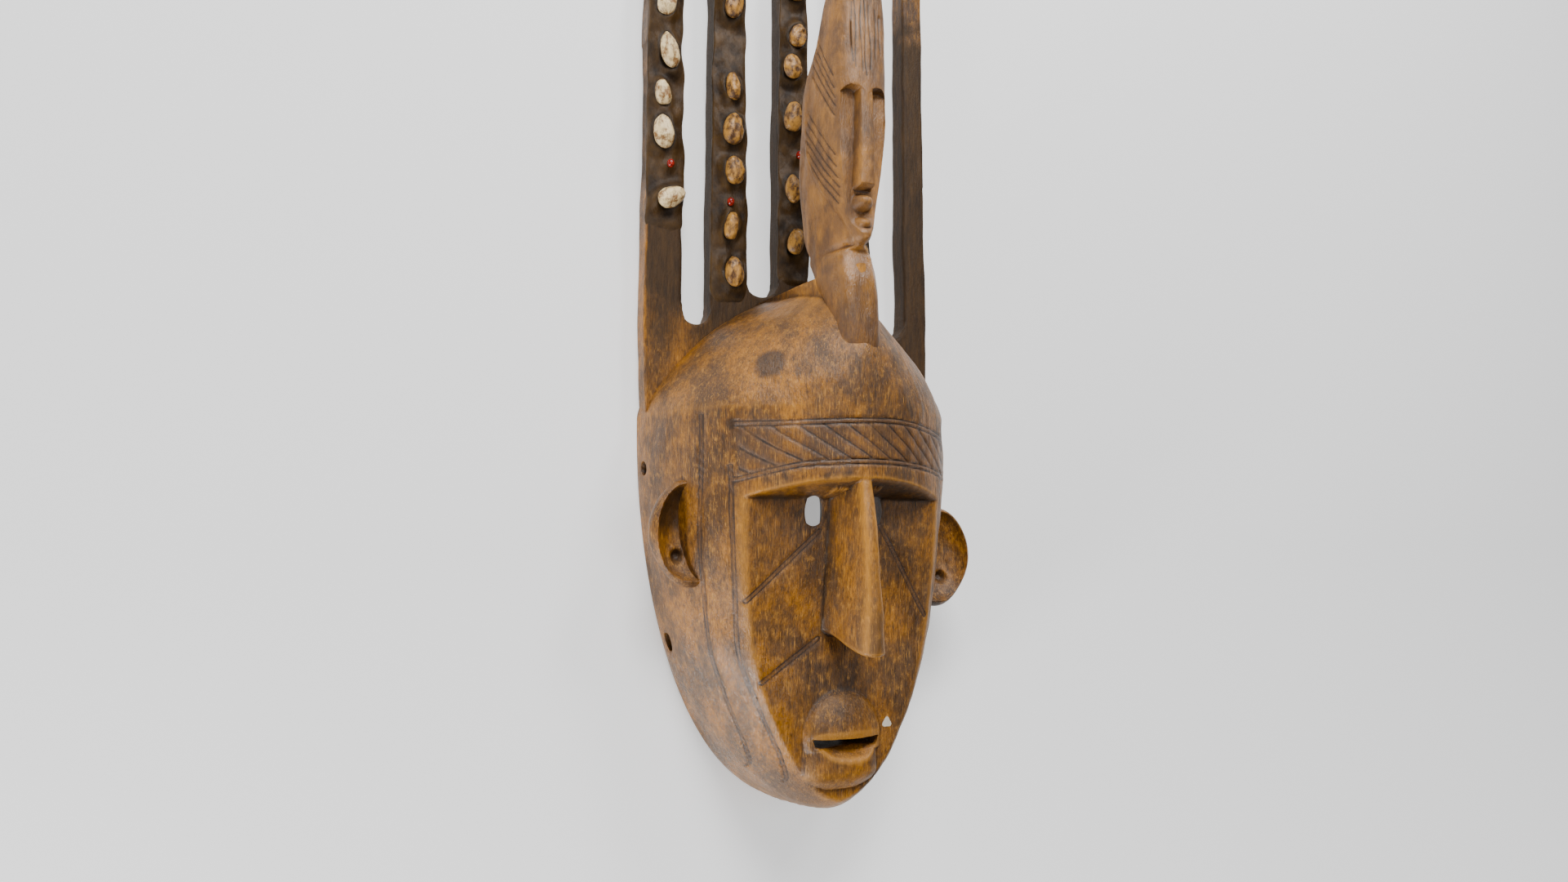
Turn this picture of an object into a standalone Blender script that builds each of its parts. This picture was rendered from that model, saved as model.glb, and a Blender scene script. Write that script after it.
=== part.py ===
"""An ntomo mask lying on its open back.

The face looks up along +Z and the horns point along +Y.  The carver cut the
face, the comb, its five horns, the little head on its neck and the ears from
one block.  Dark resin is pressed on the horns and holds cowrie shells and
red seeds.
"""

import math

import bmesh
import bpy
import numpy as np
from mathutils import Matrix, Vector

# Whole mask, in metres
WIDTH = 0.190
CHIN_Y = -0.266
WIDEST_Y = -0.044
CROWN_Y = 0.034
HORN_TIP_Y = 0.266
FACE_DEPTH = 0.108

# Roundness of the egg: 2 is an ellipse, more is boxier
CROSS_ROUND = 1.93
CROWN_CROSS_ROUND = 1.4
CROWN_PLAN = 1.5
CHIN_PLAN = 2.05
CROWN_SIDE = 3.0
CHIN_SIDE = 4.6

# The block is shaped a little past its back plane, then sawn flat
SAWN = 0.006

# The sides run straight down from this height to the saw cut
RIM_STEP = 0.001

# How far cutters reach past what they cut
CUT_CLEAR = 0.010

# Flat facets that stand for the round forms
FACE_FACETS = 24
HOLLOW_FACETS = 16
HEAD_FACETS = 14
LIP_FACETS = 12

# Hollow behind the face
WALL = 0.013
FOREHEAD_WALL = 0.016
CROWN_WALL = 0.018
EYE_WALL = 0.011
HOLLOW_CROSS = 2.5
HOLLOW_STEP_Y = -0.092
HOLLOW_STEP_RUN = 0.060

# Flat of the cheeks and the ledge of the brow
BROW_Y = -0.092
CHEEK_Z_BROW = 0.082
CHEEK_Z = 0.077
CHEEK_BEND_Y = -0.169
BROW_SLOPE = 0.36

# Nose
NOSE_TOP_Y = -0.070
NOSE_BASE_END_Y = -0.1646
NOSE_TIP_Y = -0.1756
NOSE_TIP_Z = 0.118
NOSE_ROOT_Z = 0.104
NOSE_BASE_HALF = 0.0090
NOSE_BASE_HALF_END = 0.0115
NOSE_RIDGE_HALF = 0.0028
NOSE_RIDGE_HALF_END = 0.0050

# Eyes
EYE_X = 0.0185
EYE_Y = -0.0995
EYE_HALF_WIDTH = 0.0052
EYE_HALF_HEIGHT = 0.0078
EYE_FLARE = 0.0165
EYE_FLARE_DEPTH = 0.0260

# Mouth
MOUTH_Y = -0.221
MOUTH_HALF_WIDTH = WIDTH * 0.1
LIP_CORNER = 0.003
LIP_HALF_WIDTH = MOUTH_HALF_WIDTH + LIP_CORNER
LIP_Z = 0.0855
LIP_ROOT_Z = 0.052
LIP_FALL = 0.006
LIP_STEP = 0.0015
UPPER_LIP_RISE = 0.0240
MOUTH_GAP = 0.0040
LOWER_LIP_DROP = 0.0085
LOWER_LIP_END_Y = -0.2485
MOUTH_CUT_Z = 0.030
MOUTH_SLOPE_RUN = 0.0120
MOUTH_SLOPE_DROP = 0.0100

# Ears
EAR_Y_LEFT = -0.1105
EAR_Y_RIGHT = -0.1245
EAR_HALF_HEIGHT = 0.0295
EAR_INSET = 0.0180
EAR_X = WIDTH / 2 - EAR_INSET
EAR_REACH = 0.0235
EAR_Z = 0.0480
EAR_HALF_THICK = 0.0120
EAR_RIM = 0.0060
EAR_BOWL_REACH = 0.0110
EAR_BOWL_DEPTH = 0.0140

# Comb and horns
COMB_THICK = 0.015
COMB_FOOT_Y = -0.080
HORN_PITCH = WIDTH * 0.22526
HORN_FOOT = 0.030
HORN_HALF_WIDTHS = (0.0115, 0.0112, 0.0101, 0.0098, 0.0083)
HORN_SHORT = (0.004, 0.001, 0.000, 0.003, 0.006)
OUTER_GAP_Y = 0.012
INNER_GAP_Y = 0.032

# Little head on its neck
HEAD_HALF_WIDTH = 0.0172
HEAD_CHEEK_Z = 0.1036
HEAD_NOSE_Z = 0.1120
HEAD_BROW_Y = 0.1310
HEAD_NOSE_END_Y = 0.0730
HEAD_NOSE_HALF = 0.0043
HEAD_CHIN_Y = 0.0440
HEAD_LIP_HALF = 0.0056
HEAD_LIP_ROOT_Z = 0.0940
HEAD_LIP_BEVEL = 0.0006
HEAD_LIP_EDGE = 0.0015
HEAD_UPPER_LIP = (0.0625, 0.0700, 0.1112)
HEAD_LOWER_LIP = (0.0530, 0.0592, 0.1104)

# Rings of the little head from the foot of its neck to its crown: places along Y, how far back
# and how far forward each reaches, and its share of the half width, roundness and narrowing
HEAD_YS = (
    -0.030, -0.008, 0.012, 0.028, HEAD_CHIN_Y - 0.002, HEAD_CHIN_Y + 0.001, 0.052, 0.068, 0.090,
    0.112, HEAD_BROW_Y, 0.149, 0.167, 0.185, 0.200, 0.209, 0.213,
)
HEAD_BACKS = (
    0.0850, 0.0805, 0.0790, 0.0660, 0.0565, 0.0550, 0.0510, 0.0475, 0.0460,
    0.0470, 0.0510, 0.0600, 0.0780, 0.0820, 0.0840, 0.0870, 0.0910,
)
HEAD_FRONTS = (
    0.1000, 0.1060, 0.1060, 0.1040, 0.1000, 0.1070, 0.1090, 0.1100, 0.1108,
    0.1110, 0.1105, 0.1098, 0.1090, 0.1080, 0.1060, 0.1020, 0.0980,
)
HEAD_SHARES = (0.70, 0.71, 0.71, 0.71, 0.73, 0.74, 0.76, 0.85, 0.96, 1.00, 1.00, 1.00, 0.98, 0.92, 0.80, 0.58, 0.30)
HEAD_ROUNDS = (3.5, 3.5, 3.5, 3.5, 3.4, 3.2, 3.2, 3.4, 3.5, 3.5, 3.5, 3.5, 3.4, 3.2, 2.8, 2.4, 2.2)
HEAD_NARROWS = (0, 0, 0, 0, 0.10, 0.50, 0.50, 0.38, 0.22, 0.12, 0.06, 0.04, 0.04, 0.04, 0, 0, 0)

# Holes in the rim for hanging or tying
TIE_HOLE_RADIUS = 0.0040
TIE_HOLE_Z = 0.0110
TIE_HOLE_REACH = 0.050
TIE_HOLE_YS = (-0.074, -0.173)

# Resin, shells and seeds
FIT_GAP = 0.0003
RESIN_MARGIN = 0.0012
RESIN_HEIGHT = 0.0052
COWRIE_HIGH = 0.0045
COWRIE_SINK = 0.0044
SEED_RADIUS = 0.0022
SEED_SINK = 0.0049

HALF = WIDTH / 2

# Each crust: horn number from the left, lowest point, highest point
CRUSTS = (
    (0, 0.0640, 0.2540),
    (1, 0.0260, 0.2560),
    (2, 0.0400, 0.2570),
    (3, 0.0380, 0.2540),
)

# Each cowrie: crust number, height on the horn, sideways offset, half length, half width,
# turn in degrees
COWRIES = (
    (0, 0.0849, 0.0027, 0.0088, 0.0060, -62.0),
    (0, 0.1232, -0.0026, 0.0100, 0.0067, 6.0),
    (0, 0.1467, -0.0034, 0.0072, 0.0048, 10.0),
    (0, 0.1734, 0.0006, 0.0108, 0.0058, 12.0),
    (0, 0.2030, -0.0010, 0.0088, 0.0060, -14.0),
    (0, 0.2330, 0.0008, 0.0090, 0.0060, 8.0),
    (1, 0.0443, 0.0014, 0.0092, 0.0060, 4.0),
    (1, 0.0719, -0.0007, 0.0082, 0.0044, -6.0),
    (1, 0.1062, 0.0012, 0.0086, 0.0064, 6.0),
    (1, 0.1317, 0.0004, 0.0096, 0.0066, -4.0),
    (1, 0.1581, 0.0000, 0.0084, 0.0046, 5.0),
    (1, 0.2100, 0.0006, 0.0090, 0.0060, -10.0),
    (1, 0.2370, -0.0004, 0.0086, 0.0058, 8.0),
    (2, 0.0672, -0.0010, 0.0082, 0.0054, -10.0),
    (2, 0.1000, -0.0030, 0.0090, 0.0056, 4.0),
    (2, 0.1457, -0.0028, 0.0092, 0.0058, -6.0),
    (2, 0.1779, -0.0032, 0.0078, 0.0064, 12.0),
    (2, 0.1982, 0.0004, 0.0074, 0.0060, -14.0),
    (2, 0.2300, -0.0006, 0.0088, 0.0058, 3.0),
    (3, 0.0650, 0.0004, 0.0086, 0.0058, 6.0),
    (3, 0.0950, -0.0014, 0.0090, 0.0060, -8.0),
    (3, 0.1260, 0.0006, 0.0084, 0.0056, 4.0),
    (3, 0.1640, -0.0006, 0.0090, 0.0060, -5.0),
    (3, 0.1960, 0.0005, 0.0086, 0.0058, 9.0),
    (3, 0.2290, -0.0003, 0.0088, 0.0058, -4.0),
)

# Each seed: crust number, height on the horn, sideways offset
SEEDS = (
    (0, 0.1048, 0.0020),
    (1, 0.0866, -0.0010),
    (2, 0.1220, 0.0016),
    (3, 0.1450, -0.0012),
)


def clear_scene():
    """Remove everything that the scene starts with."""
    for item in list(bpy.data.objects):
        bpy.data.objects.remove(item, do_unlink=True)


def srgb(red, green, blue):
    """A colour given as 0-255 screen values, turned into linear light."""
    values = np.array((red, green, blue)) / 255.0
    linear = np.where(values > 0.04045, ((values + 0.055) / 1.055) ** 2.4, values / 12.92)
    return tuple(float(v) for v in linear) + (1.0,)


def material(name, colour, roughness):
    """A plain material with one colour and one roughness."""
    item = bpy.data.materials.new(name)
    item.use_nodes = True
    shader = item.node_tree.nodes["Principled BSDF"]
    shader.inputs["Base Color"].default_value = colour
    shader.inputs["Roughness"].default_value = roughness
    shader.inputs["Metallic"].default_value = 0.0
    item.diffuse_color = colour
    return item


def make_collection(name):
    """A new collection under the scene."""
    item = bpy.data.collections.new(name)
    bpy.context.scene.collection.children.link(item)
    return item


def add_object(name, mesh, collection):
    """Put a mesh in a collection as an object at the origin."""
    item = bpy.data.objects.new(name, mesh)
    collection.objects.link(item)
    return item


def add_cutter(name, mesh):
    """A solid that is only used to cut or join another one."""
    item = add_object(name, mesh, CUTTERS)
    item.hide_render = True
    item.display_type = "WIRE"
    return item


def combine(target, tool, operation):
    """Add one exact Boolean step to the target."""
    step = target.modifiers.new(operation.title() + " " + tool.name, "BOOLEAN")
    step.operation = operation
    step.object = tool
    step.solver = "EXACT"


def mesh_from_bmesh(name, shape):
    """Finish a bmesh as a mesh with its faces looking outward."""
    bmesh.ops.recalc_face_normals(shape, faces=shape.faces)
    mesh = bpy.data.meshes.new(name)
    shape.to_mesh(mesh)
    shape.free()
    return mesh


def loft(name, rings):
    """A closed solid through rings of points that all have the same count."""
    shape = bmesh.new()
    rows = []
    for ring in rings:
        rows.append([shape.verts.new(point) for point in ring])
    for lower, upper in zip(rows[:-1], rows[1:]):
        count = len(lower)
        for index in range(count):
            following = (index + 1) % count
            shape.faces.new((lower[index], lower[following], upper[following], upper[index]))
    shape.faces.new(rows[0])
    shape.faces.new(rows[-1])
    return mesh_from_bmesh(name, shape)


def prism_x(name, outline, x_low, x_high):
    """A flat outline of Y and Z points, carried straight from one X to another."""
    rings = []
    for x in (x_low, x_high):
        rings.append([(x, y, z) for y, z in outline])
    return loft(name, rings)


def ellipsoid(name, centre, radii, turn=Matrix(), segments=20, rings=12):
    """A stretched ball, turned about its own middle."""
    shape = bmesh.new()
    bmesh.ops.create_uvsphere(shape, u_segments=segments, v_segments=rings, radius=1.0)
    stretch = Matrix.Diagonal((*radii, 1.0))
    bmesh.ops.transform(shape, matrix=Matrix.Translation(centre) @ turn @ stretch, verts=shape.verts)
    return mesh_from_bmesh(name, shape)


def rod(name, start, end, radius_start, radius_end, segments=16):
    """A round rod or cone from one point to another."""
    start = Vector(start)
    end = Vector(end)
    direction = end - start
    shape = bmesh.new()
    bmesh.ops.create_cone(
        shape,
        cap_ends=True,
        segments=segments,
        radius1=radius_start,
        radius2=radius_end,
        depth=direction.length,
    )
    turn = direction.to_track_quat("Z", "Y").to_matrix().to_4x4()
    middle = Matrix.Translation((start + end) / 2)
    bmesh.ops.transform(shape, matrix=middle @ turn, verts=shape.verts)
    return mesh_from_bmesh(name, shape)


def share(y, crown_y, chin_y):
    """How far a height lies from the widest line towards the crown or the chin, 0 to 1."""
    if y > WIDEST_Y:
        return min((y - WIDEST_Y) / (crown_y - WIDEST_Y), 1.0)
    return min((WIDEST_Y - y) / (WIDEST_Y - chin_y), 1.0)


def rounded(amount, power):
    """The superellipse: how much of the full size is left at a share of the way."""
    return max(1.0 - amount**power, 0.0) ** (1.0 / power)


def egg_ring(y, half_width, depth, power, count):
    """Half a superellipse across the mask, standing on the back plane."""
    ring = []
    for index in range(count + 1):
        angle = math.pi * index / count
        across = math.copysign(abs(math.cos(angle)) ** (2 / power), math.cos(angle))
        lift = max(depth * abs(math.sin(angle)) ** (2 / power), RIM_STEP)
        ring.append((half_width * across, y, lift))
    return ring


def egg_rows(crown_y, chin_y, above, below):
    """Heights of the rings, closer together near the chin and the crown."""
    rows = []
    for index in range(below):
        swing = math.sin(math.pi / 2 * (1 - index / below))
        rows.append(WIDEST_Y - (WIDEST_Y - chin_y) * swing)
    for index in range(above + 1):
        rows.append(WIDEST_Y + (crown_y - WIDEST_Y) * math.sin(math.pi / 2 * index / above))
    rows[0] = chin_y + 0.0002
    rows[-1] = crown_y - 0.0002
    return rows


def face_egg():
    """The outside of the face before its features are cut: half an egg."""
    rings = []
    for y in egg_rows(CROWN_Y, CHIN_Y, 8, 14):
        amount = share(y, CROWN_Y, CHIN_Y)
        above = y > WIDEST_Y
        plan = CROWN_PLAN if above else CHIN_PLAN
        side = CROWN_SIDE if above else CHIN_SIDE
        cross = CROSS_ROUND + (CROWN_CROSS_ROUND - CROSS_ROUND) * amount if above else CROSS_ROUND
        half_width = (HALF - 0.0005) * rounded(amount, plan)
        depth = FACE_DEPTH * rounded(amount, side)
        ring = egg_ring(y, half_width, depth, cross, FACE_FACETS)
        ring.append((-half_width, y, -SAWN))
        ring.append((half_width, y, -SAWN))
        rings.append(ring)
    return loft("Face egg", rings)


def hollow_depth(y):
    """Depth of the hollow: deeper behind the forehead than behind the cheeks."""
    forehead = FACE_DEPTH - FOREHEAD_WALL
    cheeks = CHEEK_Z - EYE_WALL
    step = min(max((y - HOLLOW_STEP_Y) / HOLLOW_STEP_RUN, 0.0), 1.0)
    smooth = step * step * (3 - 2 * step)
    return cheeks + (forehead - cheeks) * smooth


def hollow_egg():
    """The room behind the face, an egg inside the outer egg, open through the back plane."""
    crown_y = CROWN_Y - CROWN_WALL
    chin_y = CHIN_Y + WALL
    rings = []
    for y in egg_rows(crown_y, chin_y, 6, 10):
        amount = share(y, crown_y, chin_y)
        above = y > WIDEST_Y
        plan = 1.8 if above else CHIN_PLAN
        side = 2.2 if above else 3.0
        half_width = (HALF - WALL) * rounded(amount, plan)
        depth = hollow_depth(y) * rounded(amount, side)
        ring = egg_ring(y, half_width, depth, HOLLOW_CROSS, HOLLOW_FACETS)
        ring.append((-half_width, y, -SAWN * 2))
        ring.append((half_width, y, -SAWN * 2))
        rings.append(ring)
    return loft("Hollow egg", rings)


def cheek_cutter():
    """Everything in front of the flat of the cheeks, under the slanted ledge of the brow."""
    front = FACE_DEPTH * 2
    ledge_end = BROW_Y + BROW_SLOPE * (front - CHEEK_Z_BROW)
    outline = [
        (BROW_Y, CHEEK_Z_BROW),
        (ledge_end, front),
        (CHIN_Y * 1.2, front),
        (CHIN_Y * 1.2, CHEEK_Z),
        (CHEEK_BEND_Y, CHEEK_Z),
    ]
    return prism_x("Cheek cutter", outline, -WIDTH, WIDTH)


def nose():
    """The long nose: a wedge with a narrow flat ridge and a slanted underside."""
    buried = CHEEK_Z - 0.008
    rings = []
    for part in (0.0, 0.25, 0.6, 1.0):
        base_y = NOSE_TOP_Y + (NOSE_BASE_END_Y - NOSE_TOP_Y) * part
        ridge_y = NOSE_TOP_Y + (NOSE_TIP_Y - NOSE_TOP_Y) * part
        base = NOSE_BASE_HALF + (NOSE_BASE_HALF_END - NOSE_BASE_HALF) * part
        ridge = NOSE_RIDGE_HALF + (NOSE_RIDGE_HALF_END - NOSE_RIDGE_HALF) * part**2
        front = NOSE_ROOT_Z + (NOSE_TIP_Z - NOSE_ROOT_Z) * math.sin(math.pi / 2 * part) ** 0.8
        ring = [
            (-base, base_y, buried),
            (-base, base_y, CHEEK_Z + 0.002),
            (-ridge, ridge_y, front),
            (ridge, ridge_y, front),
            (base, base_y, CHEEK_Z + 0.002),
            (base, base_y, buried),
        ]
        rings.append(ring)
    return loft("Nose", rings)


def upper_lip():
    """A half disc that swells forward, flat underneath at the mouth."""
    rings = []
    centre_z = CHEEK_Z - 0.004
    height = LIP_Z - centre_z
    count = LIP_FACETS
    for row in range(7):
        lift = math.sin(math.pi / 2 * row / 6.3)
        scale = math.sqrt(1 - lift**2)
        y = MOUTH_Y + UPPER_LIP_RISE * 1.12 * lift
        ring = []
        for index in range(count + 1):
            angle = math.pi * index / count
            x = LIP_HALF_WIDTH * 1.08 * scale * math.cos(angle)
            ring.append((x, y, centre_z + height * scale * math.sin(angle) ** 0.8))
        edge = LIP_HALF_WIDTH * 1.08 * scale
        ring.append((-edge, y, centre_z - 0.006))
        ring.append((edge, y, centre_z - 0.006))
        rings.append(ring)
    return loft("Upper lip", rings)


def lower_lip():
    """The lower lip and chin: a U-shaped block that stands out from the jaw."""
    rings = []
    count = LIP_FACETS
    top = MOUTH_Y + 0.0005
    for row in range(8):
        part = row / 7
        y = LOWER_LIP_END_Y + (top - LOWER_LIP_END_Y) * part
        amount = max(1 - part * 2.2, 0.0)
        half_width = LIP_HALF_WIDTH * (1 - 0.55 * amount**2.2)
        front = LIP_Z - LIP_STEP - LIP_FALL * amount**2.0
        ring = []
        for index in range(count + 1):
            angle = math.pi * index / count
            across = math.copysign(abs(math.cos(angle)) ** 0.7, math.cos(angle))
            lift = (front - LIP_ROOT_Z) * abs(math.sin(angle)) ** 0.35
            ring.append((half_width * across, y, LIP_ROOT_Z + lift))
        rings.append(ring)
    return loft("Lower lip", rings)


def mouth_cutter():
    """The mouth: a flat slit through the wall that opens over a sloping lower lip."""
    outline = [
        (MOUTH_Y, MOUTH_CUT_Z),
        (MOUTH_Y, LIP_Z + CUT_CLEAR),
        (MOUTH_Y - LOWER_LIP_DROP - MOUTH_SLOPE_RUN, LIP_Z + CUT_CLEAR),
        (MOUTH_Y - MOUTH_GAP, LIP_Z - MOUTH_SLOPE_DROP),
        (MOUTH_Y - MOUTH_GAP, MOUTH_CUT_Z),
    ]
    return prism_x("Mouth slit", outline, -MOUTH_HALF_WIDTH, MOUTH_HALF_WIDTH)


def ear(name, side, centre_y):
    """An ear that stands out from the side of the head."""
    centre = (side * EAR_X, centre_y, EAR_Z)
    return ellipsoid(name, centre, (EAR_REACH, EAR_HALF_HEIGHT, EAR_HALF_THICK), Matrix(), 14, 8)


def ear_scoop(name, side, centre_y):
    """The bowl of the ear: it leaves a C-shaped wall, open towards the face."""
    middle_x = EAR_X + EAR_REACH - EAR_BOWL_REACH - EAR_RIM * 0.4
    middle_z = EAR_Z - EAR_HALF_THICK + EAR_RIM + EAR_BOWL_DEPTH
    centre = (side * middle_x, centre_y, middle_z)
    radii = (EAR_BOWL_REACH, EAR_HALF_HEIGHT - EAR_RIM, EAR_BOWL_DEPTH)
    return ellipsoid(name, centre, radii, Matrix(), 12, 8)


def horn_middle(number):
    """Where the middle line of a horn runs; the outer horns end at the mask's full width."""
    if number == 0:
        return -HALF + HORN_HALF_WIDTHS[0]
    if number == 4:
        return HALF - HORN_HALF_WIDTHS[4]
    return (number - 2) * HORN_PITCH


def comb_outline():
    """The comb seen from the front: five blunt horns over a plate as wide as the mask."""
    inside = HALF - WALL * 1.6
    points = [(-HALF, WIDEST_Y), (-inside, COMB_FOOT_Y), (inside, COMB_FOOT_Y), (HALF, WIDEST_Y)]
    for number in (4, 3, 2, 1, 0):
        middle = horn_middle(number)
        half_width = HORN_HALF_WIDTHS[number]
        tip_y = HORN_TIP_Y - HORN_SHORT[number]
        top_half = half_width * 0.86
        radius = half_width * 0.42
        points.append((middle + half_width, OUTER_GAP_Y + HORN_FOOT))
        points.append((middle + top_half, tip_y - radius))
        for index in range(1, 4):
            angle = math.pi / 2 * index / 3
            x = middle + top_half - radius + radius * math.cos(angle)
            points.append((x, tip_y - radius + radius * math.sin(angle)))
        for index in range(0, 3):
            angle = math.pi / 2 * (1 + index / 3)
            x = middle - top_half + radius + radius * math.cos(angle)
            points.append((x, tip_y - radius + radius * math.sin(angle)))
        points.append((middle - top_half, tip_y - radius))
        points.append((middle - half_width, OUTER_GAP_Y + HORN_FOOT))
        if number == 0:
            continue
        left = horn_middle(number - 1) + HORN_HALF_WIDTHS[number - 1]
        right = middle - half_width
        floor = OUTER_GAP_Y if number in (1, 4) else INNER_GAP_Y
        radius = (right - left) / 2
        for index in range(0, 7):
            angle = -math.pi * index / 6
            x = (left + right) / 2 + radius * math.cos(angle)
            points.append((x, floor + radius * 0.8 * (1 + math.sin(angle))))
    return points


def comb():
    """The flat comb at the back, made from its outline and pulled to its thickness."""
    curve = bpy.data.curves.new("Comb outline", "CURVE")
    curve.dimensions = "2D"
    curve.fill_mode = "BOTH"
    full = COMB_THICK + SAWN * 0.7
    curve.extrude = full / 2
    points = comb_outline()
    line = curve.splines.new("POLY")
    line.points.add(len(points) - 1)
    for point, (x, y) in zip(line.points, points):
        point.co = (x, y, 0.0, 1.0)
    line.use_cyclic_u = True
    holder = add_object("Comb curve", curve, CUTTERS)
    holder.location.z = COMB_THICK - full / 2
    bpy.context.view_layer.update()
    evaluated = holder.evaluated_get(bpy.context.evaluated_depsgraph_get())
    mesh = bpy.data.meshes.new_from_object(evaluated)
    mesh.transform(holder.matrix_world)
    bpy.data.objects.remove(holder, do_unlink=True)
    shape = bmesh.new()
    shape.from_mesh(mesh)
    bmesh.ops.remove_doubles(shape, verts=shape.verts, dist=0.00001)
    return mesh_from_bmesh("Comb", shape)


def rounded_ring(y, half_width, back, front, power, narrow=0.0, count=HEAD_FACETS):
    """A superellipse ring across the little head, narrower towards its front if asked."""
    ring = []
    middle = (back + front) / 2
    reach = (front - back) / 2
    for index in range(count):
        angle = 2 * math.pi * index / count
        across = math.copysign(abs(math.cos(angle)) ** (2 / power), math.cos(angle))
        along = math.copysign(abs(math.sin(angle)) ** (2 / power), math.sin(angle))
        slim = 1.0 - narrow * max(along, 0.0)
        ring.append((half_width * across * slim, y, middle + reach * along))
    return ring


def little_head():
    """The small head, deep from front to back and flat at the sides, on its blade of a neck."""
    rings = []
    table = zip(HEAD_YS, HEAD_SHARES, HEAD_BACKS, HEAD_FRONTS, HEAD_ROUNDS, HEAD_NARROWS)
    for y, part, back, front, power, narrow in table:
        rings.append(rounded_ring(y, HEAD_HALF_WIDTH * part, back, front, power, narrow))
    return loft("Little head", rings)


def little_cheek_cutter():
    """The flats beside the small nose, below a small brow and above the jaw."""
    outline = [
        (HEAD_BROW_Y - 0.002, HEAD_CHEEK_Z),
        (HEAD_BROW_Y + 0.002, HEAD_NOSE_Z + CUT_CLEAR),
        (HEAD_CHIN_Y + 0.008, HEAD_NOSE_Z + CUT_CLEAR),
        (HEAD_CHIN_Y + 0.014, HEAD_CHEEK_Z + 0.001),
    ]
    return prism_x("Little cheeks", outline, -HEAD_HALF_WIDTH * 1.4, HEAD_HALF_WIDTH * 1.4)


def little_nose():
    """The small nose, long and flat in front, wider towards its end."""
    rings = []
    for y, half_width, front in (
        (HEAD_BROW_Y + 0.006, HEAD_NOSE_HALF * 0.85, HEAD_NOSE_Z - 0.0025),
        (HEAD_BROW_Y - 0.012, HEAD_NOSE_HALF * 0.85, HEAD_NOSE_Z - 0.0008),
        (HEAD_NOSE_END_Y, HEAD_NOSE_HALF * 1.1, HEAD_NOSE_Z),
    ):
        back = HEAD_CHEEK_Z - 0.006
        rings.append(
            [
                (-half_width * 1.15, y, back),
                (-half_width, y, front),
                (half_width, y, front),
                (half_width * 1.15, y, back),
            ]
        )
    return loft("Little nose", rings)


def little_lips():
    """The small mouth: two blocks, one over the other."""
    shapes = []
    for name, lip in (("Little upper lip", HEAD_UPPER_LIP), ("Little lower lip", HEAD_LOWER_LIP)):
        low, high, front = lip
        places = (low, low + HEAD_LIP_EDGE, high - HEAD_LIP_EDGE, high)
        rings = []
        for y, inset in zip(places, (HEAD_LIP_BEVEL, 0.0, 0.0, HEAD_LIP_BEVEL)):
            half_width = HEAD_LIP_HALF - inset
            rings.append(rounded_ring(y, half_width, HEAD_LIP_ROOT_Z, front - inset, 3.0, 0.0, 10))
        shapes.append(loft(name, rings))
    return shapes


def crust_shape(number, y):
    """Middle line, half width and height of a crust at a height on its horn."""
    horn, low, high = CRUSTS[number]
    part = (y - low) / (high - low)
    sway = 0.0008 * math.sin(7.0 * part * math.pi + number * 1.7)
    taper = 1.0 - 0.13 * max(y - OUTER_GAP_Y, 0.0) / (HORN_TIP_Y - OUTER_GAP_Y)
    end = min(part, 1 - part) / 0.035
    close = min(0.35 + 0.65 * end, 1.0)
    swell = 1 + 0.05 * math.sin(5.0 * part * math.pi + number * 2.1)
    half_width = (HORN_HALF_WIDTHS[horn] - RESIN_MARGIN) * taper * swell * close
    height = RESIN_HEIGHT * (1 + 0.12 * math.sin(6.0 * part * math.pi + number)) * close
    return horn_middle(horn) + sway, half_width, height


def crust(number):
    """Resin pressed along the front of a horn: a lumpy low ridge with a flat bottom."""
    rings = []
    rows = 16
    low, high = CRUSTS[number][1:]
    base = COMB_THICK + FIT_GAP
    for row in range(rows + 1):
        y = low + (high - low) * row / rows
        middle, half_width, height = crust_shape(number, y)
        ring = []
        for index in range(7):
            angle = math.pi * index / 6
            lift = 0.0008 + (height - 0.0008) * max(math.sin(angle), 0.0) ** 0.7
            ring.append((middle + half_width * math.cos(angle), y, base + lift))
        ring.append((middle - half_width, y, base))
        ring.append((middle + half_width, y, base))
        rings.append(ring)
    return loft("Resin %d" % (number + 1), rings)


def cowrie_mesh(name, entry, extra):
    """An egg-shaped cowrie lying in its crust; extra grows it for the seat it leaves."""
    number, y, sideways, half_length, half_width, turn = entry
    middle = horn_middle(CRUSTS[number][0])
    shape = bmesh.new()
    bmesh.ops.create_uvsphere(shape, u_segments=8, v_segments=6, radius=1.0)
    for vert in shape.verts:
        vert.co.x *= 1.0 - 0.16 * vert.co.z
    upright = Matrix.Rotation(math.radians(-90), 4, "X")
    stretch = Matrix.Diagonal((half_width + extra, half_length + extra, COWRIE_HIGH + extra, 1.0))
    turned = Matrix.Rotation(math.radians(turn), 4, "Z")
    place = Matrix.Translation((middle + sideways, y, COMB_THICK + FIT_GAP + 0.0006 + COWRIE_SINK))
    bmesh.ops.transform(shape, matrix=place @ turned @ stretch @ upright, verts=shape.verts)
    return mesh_from_bmesh(name, shape)


def seed_mesh(name, entry, extra):
    """A round red seed pressed in the resin."""
    number, y, sideways = entry
    middle = horn_middle(CRUSTS[number][0])
    radius = SEED_RADIUS + extra
    centre = (middle + sideways, y, COMB_THICK + SEED_SINK)
    return ellipsoid(name, centre, (radius, radius * 1.15, radius), Matrix(), 6, 4)


def join_meshes(name, meshes):
    """Several separate closed meshes held as one cutter."""
    shape = bmesh.new()
    for mesh in meshes:
        shape.from_mesh(mesh)
    return mesh_from_bmesh(name, shape)


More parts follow.
